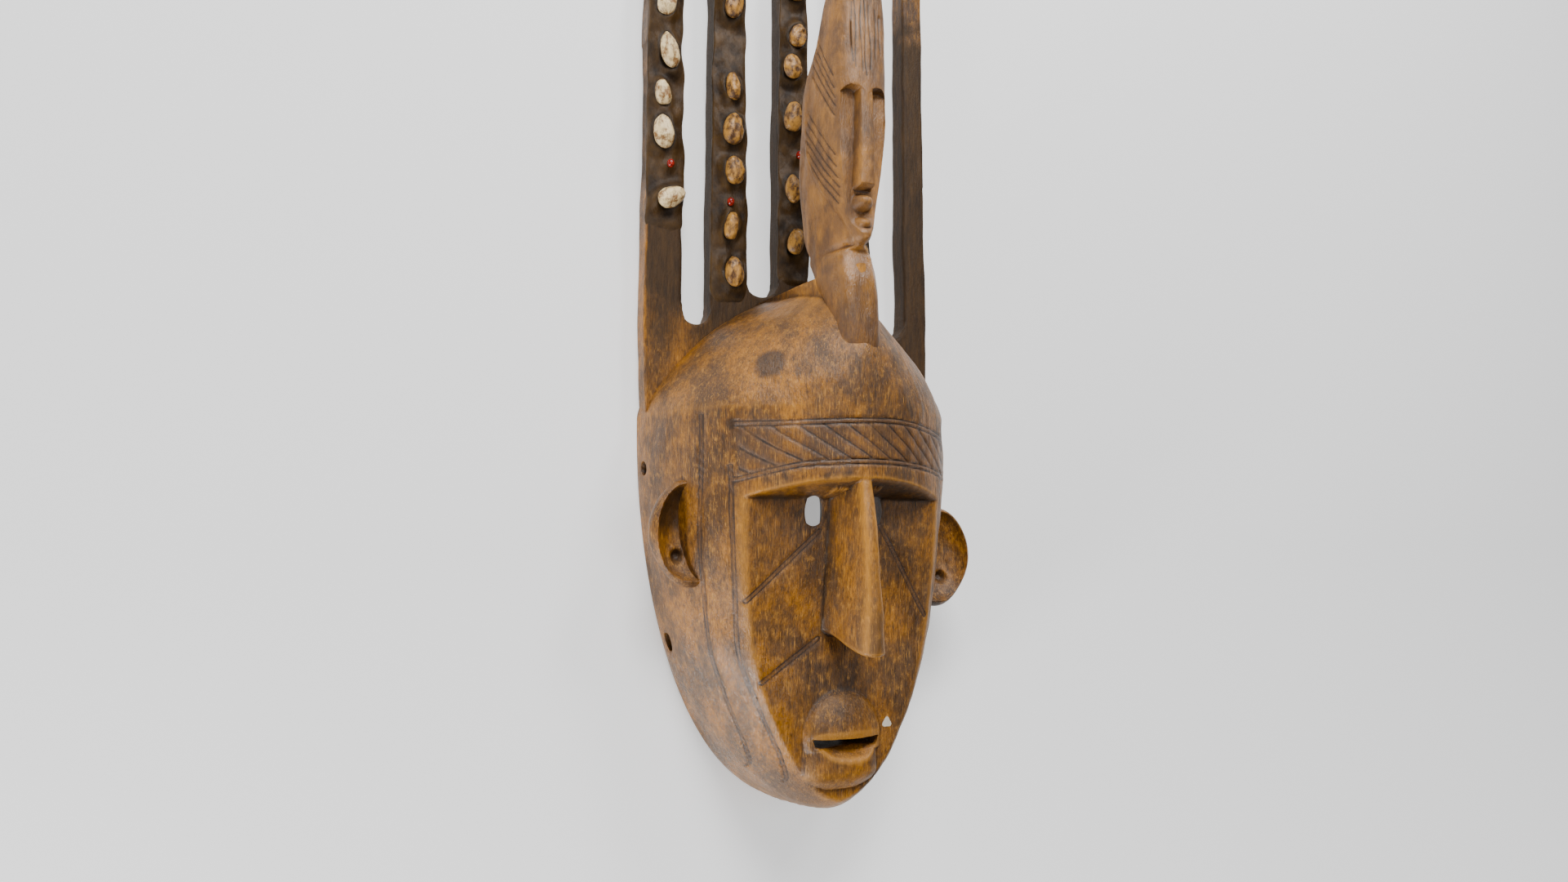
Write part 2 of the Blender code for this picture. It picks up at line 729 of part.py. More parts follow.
def carve_wood():
    """The one piece of wood, cut and joined from its forms."""
    wood = add_object("carving", face_egg(), MASK)
    combine(wood, add_cutter("Cheek cutter", cheek_cutter()), "DIFFERENCE")
    combine(wood, add_cutter("Nose", nose()), "UNION")
    combine(wood, add_cutter("Upper lip", upper_lip()), "UNION")
    combine(wood, add_cutter("Lower lip", lower_lip()), "UNION")
    combine(wood, add_cutter("Ear left", ear("Ear left", -1, EAR_Y_LEFT)), "UNION")
    combine(wood, add_cutter("Ear right", ear("Ear right", 1, EAR_Y_RIGHT)), "UNION")
    combine(wood, add_cutter("Scoop left", ear_scoop("Scoop left", -1, EAR_Y_LEFT)), "DIFFERENCE")
    combine(wood, add_cutter("Scoop right", ear_scoop("Scoop right", 1, EAR_Y_RIGHT)), "DIFFERENCE")
    combine(wood, add_cutter("Comb", comb()), "UNION")

    head = add_cutter("Little head", little_head())
    combine(head, add_cutter("Little cheeks", little_cheek_cutter()), "DIFFERENCE")
    combine(head, add_cutter("Little nose", little_nose()), "UNION")
    for mesh in little_lips():
        combine(head, add_cutter(mesh.name, mesh), "UNION")
    combine(wood, head, "UNION")

    combine(wood, add_cutter("Hollow", hollow_egg()), "DIFFERENCE")
    for side in (-1, 1):
        back = (side * (EYE_X - 0.002), EYE_Y, CHEEK_Z - EYE_FLARE_DEPTH)
        front = (side * EYE_X, EYE_Y, CHEEK_Z_BROW + 0.004)
        hole = rod("Eye hole", back, front, EYE_FLARE, EYE_HALF_WIDTH)
        stretch = Matrix.Diagonal((1.0, EYE_HALF_HEIGHT / EYE_HALF_WIDTH, 1.0, 1.0))
        centre = Matrix.Translation((0.0, EYE_Y, 0.0))
        hole.transform(centre @ stretch @ centre.inverted())
        combine(wood, add_cutter("Eye hole", hole), "DIFFERENCE")
    combine(wood, add_cutter("Mouth slit", mouth_cutter()), "DIFFERENCE")
    for side in (-1, 1):
        for y in TIE_HOLE_YS:
            outside = (side * (HALF + CUT_CLEAR), y, TIE_HOLE_Z)
            inside = (side * (HALF - TIE_HOLE_REACH), y, TIE_HOLE_Z)
            hole = rod("Tie hole", outside, inside, TIE_HOLE_RADIUS, TIE_HOLE_RADIUS, 12)
            combine(wood, add_cutter("Tie hole", hole), "DIFFERENCE")
    floor = [(CHIN_Y * 1.1, -SAWN * 4), (HORN_TIP_Y * 1.1, -SAWN * 4)]
    floor += [(HORN_TIP_Y * 1.1, 0.0), (CHIN_Y * 1.1, 0.0)]
    saw = prism_x("Saw", floor, -WIDTH, WIDTH)
    combine(wood, add_cutter("Saw", saw), "DIFFERENCE")
    wood.data.materials.append(WOOD)


def press_resin():
    """The resin crusts with seats for what they hold."""
    for number in range(len(CRUSTS)):
        resin = add_object("resin_%d" % (number + 1), crust(number), MASK)
        seats = []
        for entry in COWRIES:
            if entry[0] == number:
                seats.append(cowrie_mesh("Seat", entry, FIT_GAP))
        for entry in SEEDS:
            if entry[0] == number:
                seats.append(seed_mesh("Seat", entry, FIT_GAP))
        combine(resin, add_cutter("Seats", join_meshes("Seats", seats)), "DIFFERENCE")
        resin.data.materials.append(RESIN)


def set_shells():
    """The cowries and the red seeds, each a piece of its own."""
    for index, entry in enumerate(COWRIES):
        mesh = cowrie_mesh("Cowrie", entry, 0.0)
        mesh.shade_smooth()
        shell = add_object("cowrie_%02d" % (index + 1), mesh, MASK)
        shell.data.materials.append(SHELL)
    for index, entry in enumerate(SEEDS):
        mesh = seed_mesh("Seed", entry, 0.0)
        mesh.shade_smooth()
        seed = add_object("seed_%d" % (index + 1), mesh, MASK)
        seed.data.materials.append(SEED)


clear_scene()
MASK = make_collection("Ntomo mask")
CUTTERS = make_collection("Cutters")
WOOD = material("Carved wood", srgb(140, 92, 42), 0.48)
RESIN = material("Dark resin", srgb(62, 48, 30), 0.55)
SHELL = material("Cowrie shell", srgb(196, 160, 110), 0.35)
SEED = material("Red seed", srgb(150, 28, 20), 0.30)
carve_wood()
press_resin()
set_shells()
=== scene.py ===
"""The looks of an ntomo mask that lies on its open back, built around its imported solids.

All shapes are worked out in millimetres in the frame of the solids: x to the viewer's right,
y towards the tips of the horns, z out of the face. Places on them are read off the fitted photo.
The sidebar's settings are in metres.
"""

import math
from functools import partial

import bmesh
import bpy
import numpy as np
from bpy.props import FloatProperty, FloatVectorProperty, PointerProperty
from mathutils import Matrix, Vector


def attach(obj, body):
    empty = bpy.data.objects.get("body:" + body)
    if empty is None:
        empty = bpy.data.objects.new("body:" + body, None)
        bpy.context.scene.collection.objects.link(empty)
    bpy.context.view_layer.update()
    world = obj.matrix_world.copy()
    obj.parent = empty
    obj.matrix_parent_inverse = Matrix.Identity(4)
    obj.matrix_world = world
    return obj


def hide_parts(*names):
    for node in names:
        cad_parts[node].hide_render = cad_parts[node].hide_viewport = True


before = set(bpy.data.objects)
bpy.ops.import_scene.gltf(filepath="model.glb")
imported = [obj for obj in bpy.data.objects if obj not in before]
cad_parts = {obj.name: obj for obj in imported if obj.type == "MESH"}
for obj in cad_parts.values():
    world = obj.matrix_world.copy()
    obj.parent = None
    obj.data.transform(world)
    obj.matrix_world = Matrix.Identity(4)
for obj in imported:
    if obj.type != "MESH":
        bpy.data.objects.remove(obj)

bl_info = {
    "name": "Ntomo mask",
    "version": (1, 0, 0),
    "blender": (4, 5, 0),
    "location": "3D View > Sidebar > Mask",
    "description": "Builds the carved wood, resin, shells and seeds of an ntomo mask",
    "category": "Add Mesh",
}

MM = 0.001
SHARP_ANGLE = math.radians(55)
# Distance that stands for no cut line near a place
NO_CUT = 50.0

# Face, as in the solids
HALF_WIDTH = 95.0
CHIN_Y = -266.0
WIDEST_Y = -44.0
CROWN_Y = 34.0
FACE_DEPTH = 108.0
CHIN_PLAN = 2.05
CHIN_SIDE = 4.6
CROWN_PLAN = 1.5
CROWN_SIDE = 3.0
CROSS_ROUND = 1.93
CROWN_CROSS_ROUND = 1.4

# Room behind the face
WALL = 13.0
HOLLOW_CHIN_Y = -253.0
HOLLOW_CROWN_Y = 16.0
HOLLOW_CHEEK_DEPTH = 66.0
HOLLOW_FOREHEAD_DEPTH = 92.0

# Cheeks and brow
BROW_Y = -92.0
CHEEK_Z_BROW = 82.0
CHEEK_Z = 77.0
CHEEK_BEND_Y = -169.0
BROW_SLOPE = 0.36

# Nose
NOSE_TOP_Y = -70.0
NOSE_BASE_END_Y = -164.6
NOSE_PULL = 11.0
NOSE_ROOT_Z = 104.0
NOSE_TIP_Z = 118.0
NOSE_FOOT_Z = 79.0
NOSE_HALF_BASE = 9.0
NOSE_HALF_RIDGE = 2.8
NOSE_END_LENGTH = 3.4

# Eyes and mouth
EYE_X = 18.5
EYE_Y = -99.5
EYE_HALF_WIDTH = 5.2
EYE_HALF_HEIGHT = 7.8
MOUTH_Y = -221.0
MOUTH_HALF = 19.0
LIP_HALF = 23.0
LIP_Z = 85.5
UPPER_LIP_HALF = 23.8
UPPER_LIP_HEIGHT = 26.9
UPPER_LIP_FOOT_Z = 73.0
LOWER_LIP_END_Y = -248.5
LOWER_LIP_FOOT_Z = 52.0

# Tie holes in the rim
TIE_HOLE_YS = (-74.0, -173.0)
TIE_HOLE_Z = 11.0
TIE_HOLE_RADIUS = 4.0

# Comb and horns
COMB_THICK = 15.0
HORN_TIP_Y = 266.0
HORN_PITCH = 42.8
HORN_HALF_WIDTHS = (11.5, 11.2, 10.1, 9.8, 8.3)
HORN_SHORT = (4.0, 1.0, 0.0, 3.0, 6.0)
OUTER_GAP_Y = 12.0
INNER_GAP_Y = 32.0


def linear(hex_colour):
    """A scene-linear colour from an sRGB hex string."""
    parts = np.array([int(hex_colour[place:place + 2], 16) / 255.0 for place in (1, 3, 5)])
    low = parts / 12.92
    high = ((parts + 0.055) / 1.055) ** 2.4
    return tuple(np.where(parts <= 0.04045, low, high).tolist()) + (1.0,)


def colour_setting(name, description, hex_colour):
    """A colour that the user picks in the sidebar."""
    return FloatVectorProperty(name=name, description=description, default=linear(hex_colour), size=4,
                               min=0.0, max=1.0, subtype="COLOR")


def length_setting(name, description, default):
    """A length in metres that the user sets in the sidebar."""
    return FloatProperty(name=name, description=description, default=default,
                         min=0.0, precision=5, unit="LENGTH")


class WoodSettings(bpy.types.PropertyGroup):
    """Colours of the wood and depths of its cut lines."""

    golden: colour_setting("Golden wood", "Oiled wood where it is bright", "#98600C")
    brown: colour_setting("Brown wood", "Oiled wood where smoke darkened it", "#52320A")
    worn: colour_setting("Worn wood", "Wood where the oil is rubbed off", "#50371F")
    # This colour lays both dirt and painted shade into every recess of the wood
    grime_and_shade: colour_setting("Grime", "Dirt in every recess of the wood", "#241608")
    lines: colour_setting("Cut lines", "Dirt at the bottom of the cut lines", "#1E1209")
    double_depth: length_setting("Depth of double lines", "How deep the double lines are cut", 0.00075)
    single_depth: length_setting("Depth of slanted lines", "How deep the band over the brow is cut", 0.00055)
    head_depth: length_setting("Depth on the little head", "How deep its strokes are cut", 0.00085)


class ResinSettings(bpy.types.PropertyGroup):
    """Colours and sizes of the resin on the horns and of what it holds."""

    dark: colour_setting("Dark resin", "Resin where it is darkest", "#211406")
    light: colour_setting("Light resin", "Resin where it is lightest", "#463013")
    coat: colour_setting("Coat", "Light streaks in the thin coat on the horns", "#432D10")
    cream: colour_setting("Cream shells", "Shells of the first horn", "#E6CC98")
    golden: colour_setting("Golden shells", "Shells of the other horns", "#B07E38")
    seed: colour_setting("Seeds", "Small round seeds", "#A3241A")
    bank: length_setting("Bank of resin", "How high the resin is pressed up around a shell", 0.0036)
    shell_height: length_setting("Shell height", "How far a shell rises over its middle", 0.004725)
    seed_radius: length_setting("Seed radius", "Half the width of a seed", 0.0022)


class StageSettings(bpy.types.PropertyGroup):
    """Floor and light around the mask."""

    floor_size: length_setting("Floor size", "Width of the pale floor", 6.0)
    floor_colour: colour_setting("Floor colour", "Colour of the backdrop paper", "#E4E4E4")
    light: FloatProperty(name="Light", description="Power of all lights as a share of the fitted power",
                         default=1.0, min=0.0, subtype="FACTOR")
    sky: FloatProperty(name="Sky", description="Strength of the even light from all sides",
                       default=0.10, min=0.0, subtype="FACTOR")


def smooth_step(low, high, value):
    """0 below low, 1 above high, an S-curve between."""
    part = np.clip((value - low) / (high - low), 0.0, 1.0)
    return part * part * (3.0 - 2.0 * part)


def soft_min(first, second, radius):
    """The smaller of two heights, with the corner between them rounded off."""
    part = np.clip(0.5 + 0.5 * (second - first) / radius, 0.0, 1.0)
    return second + (first - second) * part - radius * part * (1.0 - part)


def soft_max(first, second, radius):
    """The larger of two heights, with the crease between them filled."""
    return -soft_min(-first, -second, radius)


def ripple(points, size, seed, stretch=(1.0, 1.0, 1.0)):
    """Irregular gentle waves, about -1 to 1: the sum of eight sine waves in seeded directions."""
    random = np.random.default_rng(seed)
    total = np.zeros(points.shape[:-1])
    for _ in range(8):
        direction = random.normal(size=3)
        direction = direction / np.linalg.norm(direction) * np.array(stretch)
        length = size * random.uniform(0.65, 1.6)
        phase = random.uniform(0.0, 2.0 * math.pi)
        total = total + np.sin(points @ direction * (2.0 * math.pi / length) + phase)
    return total / 3.2


def rounded(part, power):
    """The superellipse: how much of the full size is left at a share of the way."""
    return np.clip(1.0 - part**power, 0.0, None) ** (1.0 / power)


def grid_normals(points):
    """Unit normals of a grid of points, from the cross product of its two directions."""
    across = np.gradient(points, axis=1)
    along = np.gradient(points, axis=0)
    normal = np.cross(across, along)
    length = np.linalg.norm(normal, axis=-1, keepdims=True)
    return normal / np.maximum(length, 1e-9)


def blur(values, times):
    """Each value mixed with its neighbours on the grid, a number of times."""
    for _ in range(times):
        padded = np.pad(values, ((1, 1), (1, 1)) + ((0, 0),) * (values.ndim - 2), mode="edge")
        sides = padded[:-2, 1:-1] + padded[2:, 1:-1] + padded[1:-1, :-2] + padded[1:-1, 2:]
        values = 0.5 * values + 0.125 * sides
    return values


def cavity(points, times):
    """How far each point lies below its blurred surroundings, in millimetres."""
    return np.sum((blur(points, times) - points) * grid_normals(points), axis=-1)


def grid_faces(rows, columns, start=0, keep=None, flip=False):
    """Quads between the rows and columns of a grid of points."""
    row, column = np.meshgrid(np.arange(rows - 1), np.arange(columns - 1), indexing="ij")
    corner = start + row * columns + column
    quads = np.stack((corner, corner + 1, corner + columns + 1, corner + columns), axis=-1)
    quads = quads[keep] if keep is not None else quads.reshape(-1, 4)
    return quads[:, ::-1] if flip else quads


def strip_faces(first, second, closed=False):
    """Quads between two lines of point numbers of the same length."""
    if closed:
        first = np.append(first, first[0])
        second = np.append(second, second[0])
    return np.stack((first[:-1], first[1:], second[1:], second[:-1]), axis=-1)


def ring_faces(rings, spokes):
    """Quads between closed rings of points, and each ring's point numbers with the first one repeated."""
    number = np.arange(rings * spokes).reshape(rings, spokes)
    closed = np.concatenate((number, number[:, :1]), axis=1)
    quads = [strip_faces(first, second) for first, second in zip(closed[:-1], closed[1:])]
    return closed, np.concatenate(quads)


def make_piece(name, points, quads, material, attributes=None, triangles=None):
    """A closed mesh object from millimetre points and faces, its faces turned outward.

    Points that no face uses are dropped, and edges sharper than SHARP_ANGLE are shaded as edges.
    """
    used = np.unique(quads) if triangles is None else np.unique(np.append(quads, triangles))
    renumber = np.full(len(points), -1)
    renumber[used] = np.arange(len(used))
    faces = renumber[quads].tolist()
    if triangles is not None:
        faces += renumber[triangles].tolist()
    mesh = bpy.data.meshes.new(name)
    mesh.from_pydata(points[used] * MM, [], faces)
    for key, values in (attributes or {}).items():
        layer = mesh.attributes.new(key, "FLOAT", "POINT")
        layer.data.foreach_set("value", np.ascontiguousarray(values[used], dtype=np.float32))
    work = bmesh.new()
    work.from_mesh(mesh)
    bmesh.ops.recalc_face_normals(work, faces=work.faces)
    work.to_mesh(mesh)
    work.free()
    mesh.polygons.foreach_set("use_smooth", np.full(len(mesh.polygons), True))
    mesh.set_sharp_from_angle(angle=SHARP_ANGLE)
    mesh.update()
    mesh.materials.append(material)
    piece = bpy.data.objects.new(name, mesh)
    bpy.context.scene.collection.objects.link(piece)
    return piece


def border_loop(number):
    """The point numbers once round the border of a grid."""
    return np.concatenate((number[0, :-1], number[:-1, -1], number[-1, :0:-1], number[:0:-1, 0]))


def slab(name, front, back, keep, loops, material, fields):
    """A closed piece from two grids of points, joined by walls along closed loops of point numbers.

    Each loop comes with its number of steps. The fields are the front's attributes, each with the
    value that it takes everywhere else.
    """
    rows, columns = front.shape[:2]
    count = rows * columns
    flat = np.concatenate((front.reshape(-1, 3), back.reshape(-1, 3)))
    quads = [grid_faces(rows, columns, 0, keep), grid_faces(rows, columns, count, keep, flip=True)]
    points = [flat]
    total = 2 * count
    for loop, steps in loops:
        above = loop
        for step in range(1, steps):
            points.append(flat[loop] + (flat[loop + count] - flat[loop]) * (step / steps))
            below = total + np.arange(len(loop))
            quads.append(strip_faces(below, above, closed=True))
            total += len(loop)
            above = below
        quads.append(strip_faces(loop + count, above, closed=True))
    attributes = {}
    for key, (values, elsewhere) in fields.items():
        attributes[key] = np.append(values.ravel(), np.full(total - count, elsewhere))
    return make_piece(name, np.concatenate(points), np.concatenate(quads), material, attributes)


def egg_size(y):
    """Half width, depth and roundness of the egg at each y."""
    above = y > WIDEST_Y
    crown = np.clip((y - WIDEST_Y) / (CROWN_Y - WIDEST_Y), 0.0, 1.0)
    chin = np.clip((WIDEST_Y - y) / (WIDEST_Y - CHIN_Y), 0.0, 1.0)
    half_width = (HALF_WIDTH - 0.5) * np.where(above, rounded(crown, CROWN_PLAN), rounded(chin, CHIN_PLAN))
    depth = FACE_DEPTH * np.where(above, rounded(crown, CROWN_SIDE), rounded(chin, CHIN_SIDE))
    power = CROSS_ROUND + (CROWN_CROSS_ROUND - CROSS_ROUND) * crown
    return half_width, depth, power


def hollow_size(y):
    """Half width and depth of the room behind the face at each y."""
    above = y > WIDEST_Y
    crown = np.clip((y - WIDEST_Y) / (HOLLOW_CROWN_Y - WIDEST_Y), 0.0, 1.0)
    chin = np.clip((WIDEST_Y - y) / (WIDEST_Y - HOLLOW_CHIN_Y), 0.0, 1.0)
    step = smooth_step(-92.0, -32.0, y)
    full = HOLLOW_CHEEK_DEPTH + (HOLLOW_FOREHEAD_DEPTH - HOLLOW_CHEEK_DEPTH) * step
    half_width = (HALF_WIDTH - WALL) * np.where(above, rounded(crown, 1.8), rounded(chin, CHIN_PLAN))
    depth = full * np.where(above, rounded(crown, 2.2), rounded(chin, 3.0))
    return half_width, depth


def nose_height(x, y):
    """The nose as a height: a flat narrow ridge, steep flanks, and a rounded drop at its end."""
    part = np.clip((NOSE_TOP_Y - y) / (NOSE_TOP_Y - NOSE_BASE_END_Y), 0.0, 1.0)
    base = NOSE_HALF_BASE + 2.5 * part
    ridge = NOSE_HALF_RIDGE + 2.2 * part**2
    front = NOSE_ROOT_Z + (NOSE_TIP_Z - NOSE_ROOT_Z) * np.sin(math.pi / 2 * part) ** 0.8
    slope = (front - NOSE_FOOT_Z) / (base - ridge)
    flank = front - (np.abs(x) - ridge) * slope
    end = np.clip((NOSE_BASE_END_Y + 2.0 - y) / NOSE_END_LENGTH, 0.0, None)
    drop = 44.0 * (1.0 - rounded(np.minimum(end, 1.0), 2)) + 300.0 * np.clip(end - 1.0, 0.0, None)
    crown = front - 0.10 * x**2
    return soft_min(crown, flank, 3.0) - drop, front, part


def upper_lip_height(x, y):
    """A half disc that swells forward, cut straight at the mouth."""
    lift = np.clip((y - MOUTH_Y) / UPPER_LIP_HEIGHT, -1.0, 1.0)
    reach = UPPER_LIP_HALF * np.sqrt(1.0 - lift**2) + 1e-6
    across = np.clip(np.abs(x) / reach, 0.0, 1.0)
    swell = (LIP_Z - UPPER_LIP_FOOT_Z) * (reach / UPPER_LIP_HALF)
    height = UPPER_LIP_FOOT_Z + swell * (1.0 - across**2) ** 0.4
    inside = (y > MOUTH_Y - 6.0) & (np.abs(x) < reach)
    return np.where(inside, height, 0.0)


def lower_lip_height(x, y):
    """The lower lip and chin: a boxy block, rounded in at its lower corners."""
    part = np.clip((y - LOWER_LIP_END_Y) / 28.0, 0.0, 1.0)
    narrow = np.clip(1.0 - part * 2.6, 0.0, 1.0)
    spread = 3.4 * smooth_step(1.0, 0.45, part) * (x < 0.0)
    half = (LIP_HALF + spread) * (1.0 - 0.50 * narrow**2.2)
    front = LIP_Z - 1.5 - 6.0 * narrow**2
    across = np.clip(np.abs(x) / half, 0.0, 1.0) ** (1.0 / 0.7)
    height = LOWER_LIP_FOOT_Z + (front - LOWER_LIP_FOOT_Z) * np.clip(1.0 - across**2, 0.0, 1.0) ** 0.175
    end = np.clip((LOWER_LIP_END_Y + 0.6 - y) / 1.6, 0.0, 1.0)
    inside = (y < MOUTH_Y) & (y > LOWER_LIP_END_Y - 1.2) & (np.abs(x) < half)
    return np.where(inside, height - 30.0 * end**2, 0.0)


def mouth_slope_height(x, y):
    """The top of the lower lip: it slants in to the slit, less so at the corners of the mouth."""
    beside = np.where(x < 8.0, (8.0 - x) / 28.0, (x - 8.0) / 13.5)
    slope = 74.5 + (-225.0 - y) * 1.21 + 13.0 * np.clip(beside, 0.0, 1.3) ** 3
    return np.where(y < -220.4, slope, 200.0)


def face_height(x, y):
    """Height of the carved face over its back plane."""
    half_width, depth, power = egg_size(y)
    across = np.clip(np.abs(x) / np.maximum(half_width, 1e-6), 0.0, 1.0)
    egg = depth * (1.0 - across**power) ** (1.0 / power)
    cheek = np.interp(y, (-300.0, CHEEK_BEND_Y, BROW_Y), (CHEEK_Z, CHEEK_Z, CHEEK_Z_BROW))
    ledge = CHEEK_Z_BROW + (y - BROW_Y) / BROW_SLOPE
    height = soft_min(egg, soft_max(cheek, ledge, 1.6), 2.6)
    nose, front, part = nose_height(x, y)
    height = soft_max(height, nose, 1.4)
    height = soft_max(height, upper_lip_height(x, y), 1.0)
    height = soft_max(height, lower_lip_height(x, y), 1.0)
    height = soft_min(height, mouth_slope_height(x, y), 1.0)
    reach = np.clip((height - 80.0) / (front - 80.0), 0.0, 1.0)
    on_nose = smooth_step(0.0, 3.0, nose - cheek + 30.0) * (np.abs(x) < 14.0)
    pull = NOSE_PULL * part * reach * on_nose * (y < BROW_Y + 6.0)
    pull = np.where(y < -170.5, 0.0, pull)
    return height, pull


# Grid of the face: how many columns lie on each stretch from the middle outward
RIDGE_COLUMNS = 5
FLANK_COLUMNS = 16
FLAT_COLUMNS = 56
SIDE_COLUMNS = 52

# Rows of the face: stretches of y, each with its number of rows
FACE_ROWS = (
    (-265.999, -265.98, 1),
    (-265.98, -265.9, 2),
    (-265.9, -265.5, 3),
    (-265.5, -264.0, 5),
    (-264.0, -250.0, 16),
    (-250.0, -246.0, 7),
    (-246.0, -225.0, 22),
    (-225.0, -221.0, 4),
    (-221.0, -195.0, 26),
    (-195.0, -168.5, 20),
    (-168.5, -161.5, 14),
    (-161.5, -107.5, 40),
    (-107.5, -91.5, 16),
    (-91.5, -82.0, 14),
    (-82.0, 0.0, 92),
    (0.0, 24.0, 30),
    (24.0, 32.0, 14),
    (32.0, 33.7, 6),
    (33.7, 33.99, 3),
)
SEAM_Y = -88.5
COLUMN_REACH = RIDGE_COLUMNS + FLANK_COLUMNS + FLAT_COLUMNS + SIDE_COLUMNS


def row_places(stretches):
    """The y of every row: even steps along each stretch, and the end of the last one."""
    places = [np.linspace(low, high, count, endpoint=False) for low, high, count in stretches]
    return np.append(np.concatenate(places), stretches[-1][1])


def face_column_places(column, y):
    """x of a column at a y, as a share of the half width and as x itself.

    The columns follow the ridge and the foot of the nose and the edge of the cheek; beyond that edge
    they run at even angles down to the rim.
    """
    half_width, depth, power = egg_size(y)
    cheek = np.interp(y, (-300.0, CHEEK_BEND_Y, BROW_Y), (CHEEK_Z, CHEEK_Z, CHEEK_Z_BROW))
    ratio = np.clip(cheek / np.maximum(depth, 1e-6), 0.0, 1.0)
    edge = half_width * (1.0 - ratio**power) ** (1.0 / power)
    forehead = smooth_step(-95.0, -60.0, y)
    edge = np.clip(edge, 0.34 * half_width, 0.86 * half_width)
    edge = edge * (1.0 - forehead) + 0.70 * half_width * forehead
    ridge = np.minimum(3.2 + 5.0 * forehead + 0.6 * smooth_step(-200.0, -240.0, y), 0.05 * half_width + 1e-4)
    foot = np.minimum(9.8 + 1.8 * smooth_step(-95.0, -165.0, y) + 14.0 * forehead, 0.22 * half_width)
    side = np.abs(column)
    ends = np.cumsum((0, RIDGE_COLUMNS, FLANK_COLUMNS, FLAT_COLUMNS, SIDE_COLUMNS))
    first = np.clip(side / ends[1], 0.0, 1.0) * ridge
    second = np.clip((side - ends[1]) / FLANK_COLUMNS, 0.0, 1.0) * (foot - ridge)
    third = np.clip((side - ends[2]) / FLAT_COLUMNS, 0.0, 1.0) * (edge - foot)
    start = np.arcsin(np.clip(edge / np.maximum(half_width, 1e-6), 0.0, 1.0))
    turn = np.clip((side - ends[3]) / SIDE_COLUMNS, 0.0, 1.0)
    angle = start + (math.pi / 2 - start) * turn
    fourth = np.where(turn > 0.0, half_width * np.sin(angle) - edge, 0.0)
    return np.sign(column) * (first + second + third + fourth)


FACE_ROW_PLACES = row_places(FACE_ROWS)


class Hole:
    """A block of the grid that is left out, and the oval that its edge is moved to.

    Its middle and half sizes count rows and columns of the grid, and so do the half sizes of the outer
    and inner oval and the inner oval's shift. Square is 0 for an oval and 1 for a block, and reach is
    where the grid is at rest again, as a multiple of the block.
    """

    def __init__(self, row, column, half_rows, half_columns, size, inner_size, inner_shift, square, reach):
        self.row = row
        self.column = column
        self.half_rows = half_rows
        self.half_columns = half_columns
        self.size = size
        self.inner_size = inner_size
        self.inner_shift = inner_shift
        self.square = square
        self.reach = reach

    def warp(self, row, column, size, shift):
        """Moves grid places so that the block's edge becomes an oval, fading out at the hole's reach."""
        across = (column - self.column) / self.half_columns
        along = (row - self.row) / self.half_rows
        ring = np.maximum(np.abs(across), np.abs(along))
        length = np.hypot(across, along)
        part = np.clip((ring - 1.0) / (self.reach - 1.0), 0.0, 1.0)
        oval = np.where(length > 0, ring / np.maximum(length, 1e-9), 1.0)
        shape = 1.0 + (oval - 1.0) * (1.0 - part) * (1.0 - self.square)
        safe = np.maximum(ring, 1e-9)
        wide = (size[0] * (1.0 - part) + self.half_columns * self.reach * part) / safe
        high = (size[1] * (1.0 - part) + self.half_rows * self.reach * part) / safe
        inside = (ring < self.reach) & (ring > 0.999)
        new_column = self.column + across * wide * shape + shift[0] * (1.0 - part)
        new_row = self.row + along * high * shape + shift[1] * (1.0 - part)
        return np.where(inside, new_row, row), np.where(inside, new_column, column), ring

    def block(self):
        """First and last row and column of the block, the columns counted from the left rim."""
        rows = (self.row - self.half_rows, self.row + self.half_rows)
        middle = self.column + COLUMN_REACH
        return rows, (middle - self.half_columns, middle + self.half_columns)


def row_of(y):
    """The row number, with its fraction, at a y."""
    return np.interp(y, FACE_ROW_PLACES, np.arange(len(FACE_ROW_PLACES)))


def column_of(x, y):
    """The column number, with its fraction, at an x and y."""
    columns = np.arange(-COLUMN_REACH, COLUMN_REACH + 1)
    return np.interp(x, face_column_places(columns.astype(float), np.full(len(columns), float(y))), columns)


def face_holes():
    """The eyes, the mouth and the tie holes as blocks of the face's grid."""
    holes = []
    for side in (-1, 1):
        row = round(float(row_of(EYE_Y)))
        column = round(float(column_of(side * EYE_X, EYE_Y)))
        column_step = float(column_of(side * EYE_X + 1.0, EYE_Y) - column_of(side * EYE_X, EYE_Y))
        row_step = float(row_of(EYE_Y + 1.0) - row_of(EYE_Y))
        size = (EYE_HALF_WIDTH * column_step, EYE_HALF_HEIGHT * row_step)
        inner_size = (size[0] * 2.3, size[1] * 2.0)
        holes.append(Hole(row, column, 8, 6, size, inner_size, (0.0, 0.0), 0.25, 3.4))
    row = round(float(row_of(MOUTH_Y - 2.0)))
    columns = round(float(column_of(MOUTH_HALF, MOUTH_Y)))
    holes.append(Hole(row, 0, 2, columns, (columns, 2.0), (columns, 1.4), (-0.4, 0.0), 0.94, 1.5))
    for side in (-1, 1):
        for y in TIE_HOLE_YS:
            row = round(float(row_of(y)))
            half_width, depth, power = egg_size(np.array(y))
            x = half_width * (1.0 - (TIE_HOLE_Z / depth) ** power) ** (1.0 / power)
            column = round(float(column_of(side * x, y)))
            size = (TIE_HOLE_RADIUS / 1.55, TIE_HOLE_RADIUS * 1.15)
            holes.append(Hole(row, column, 4, 3, size, size, (0.0, 0.0), 0.0, 2.2))
    return holes


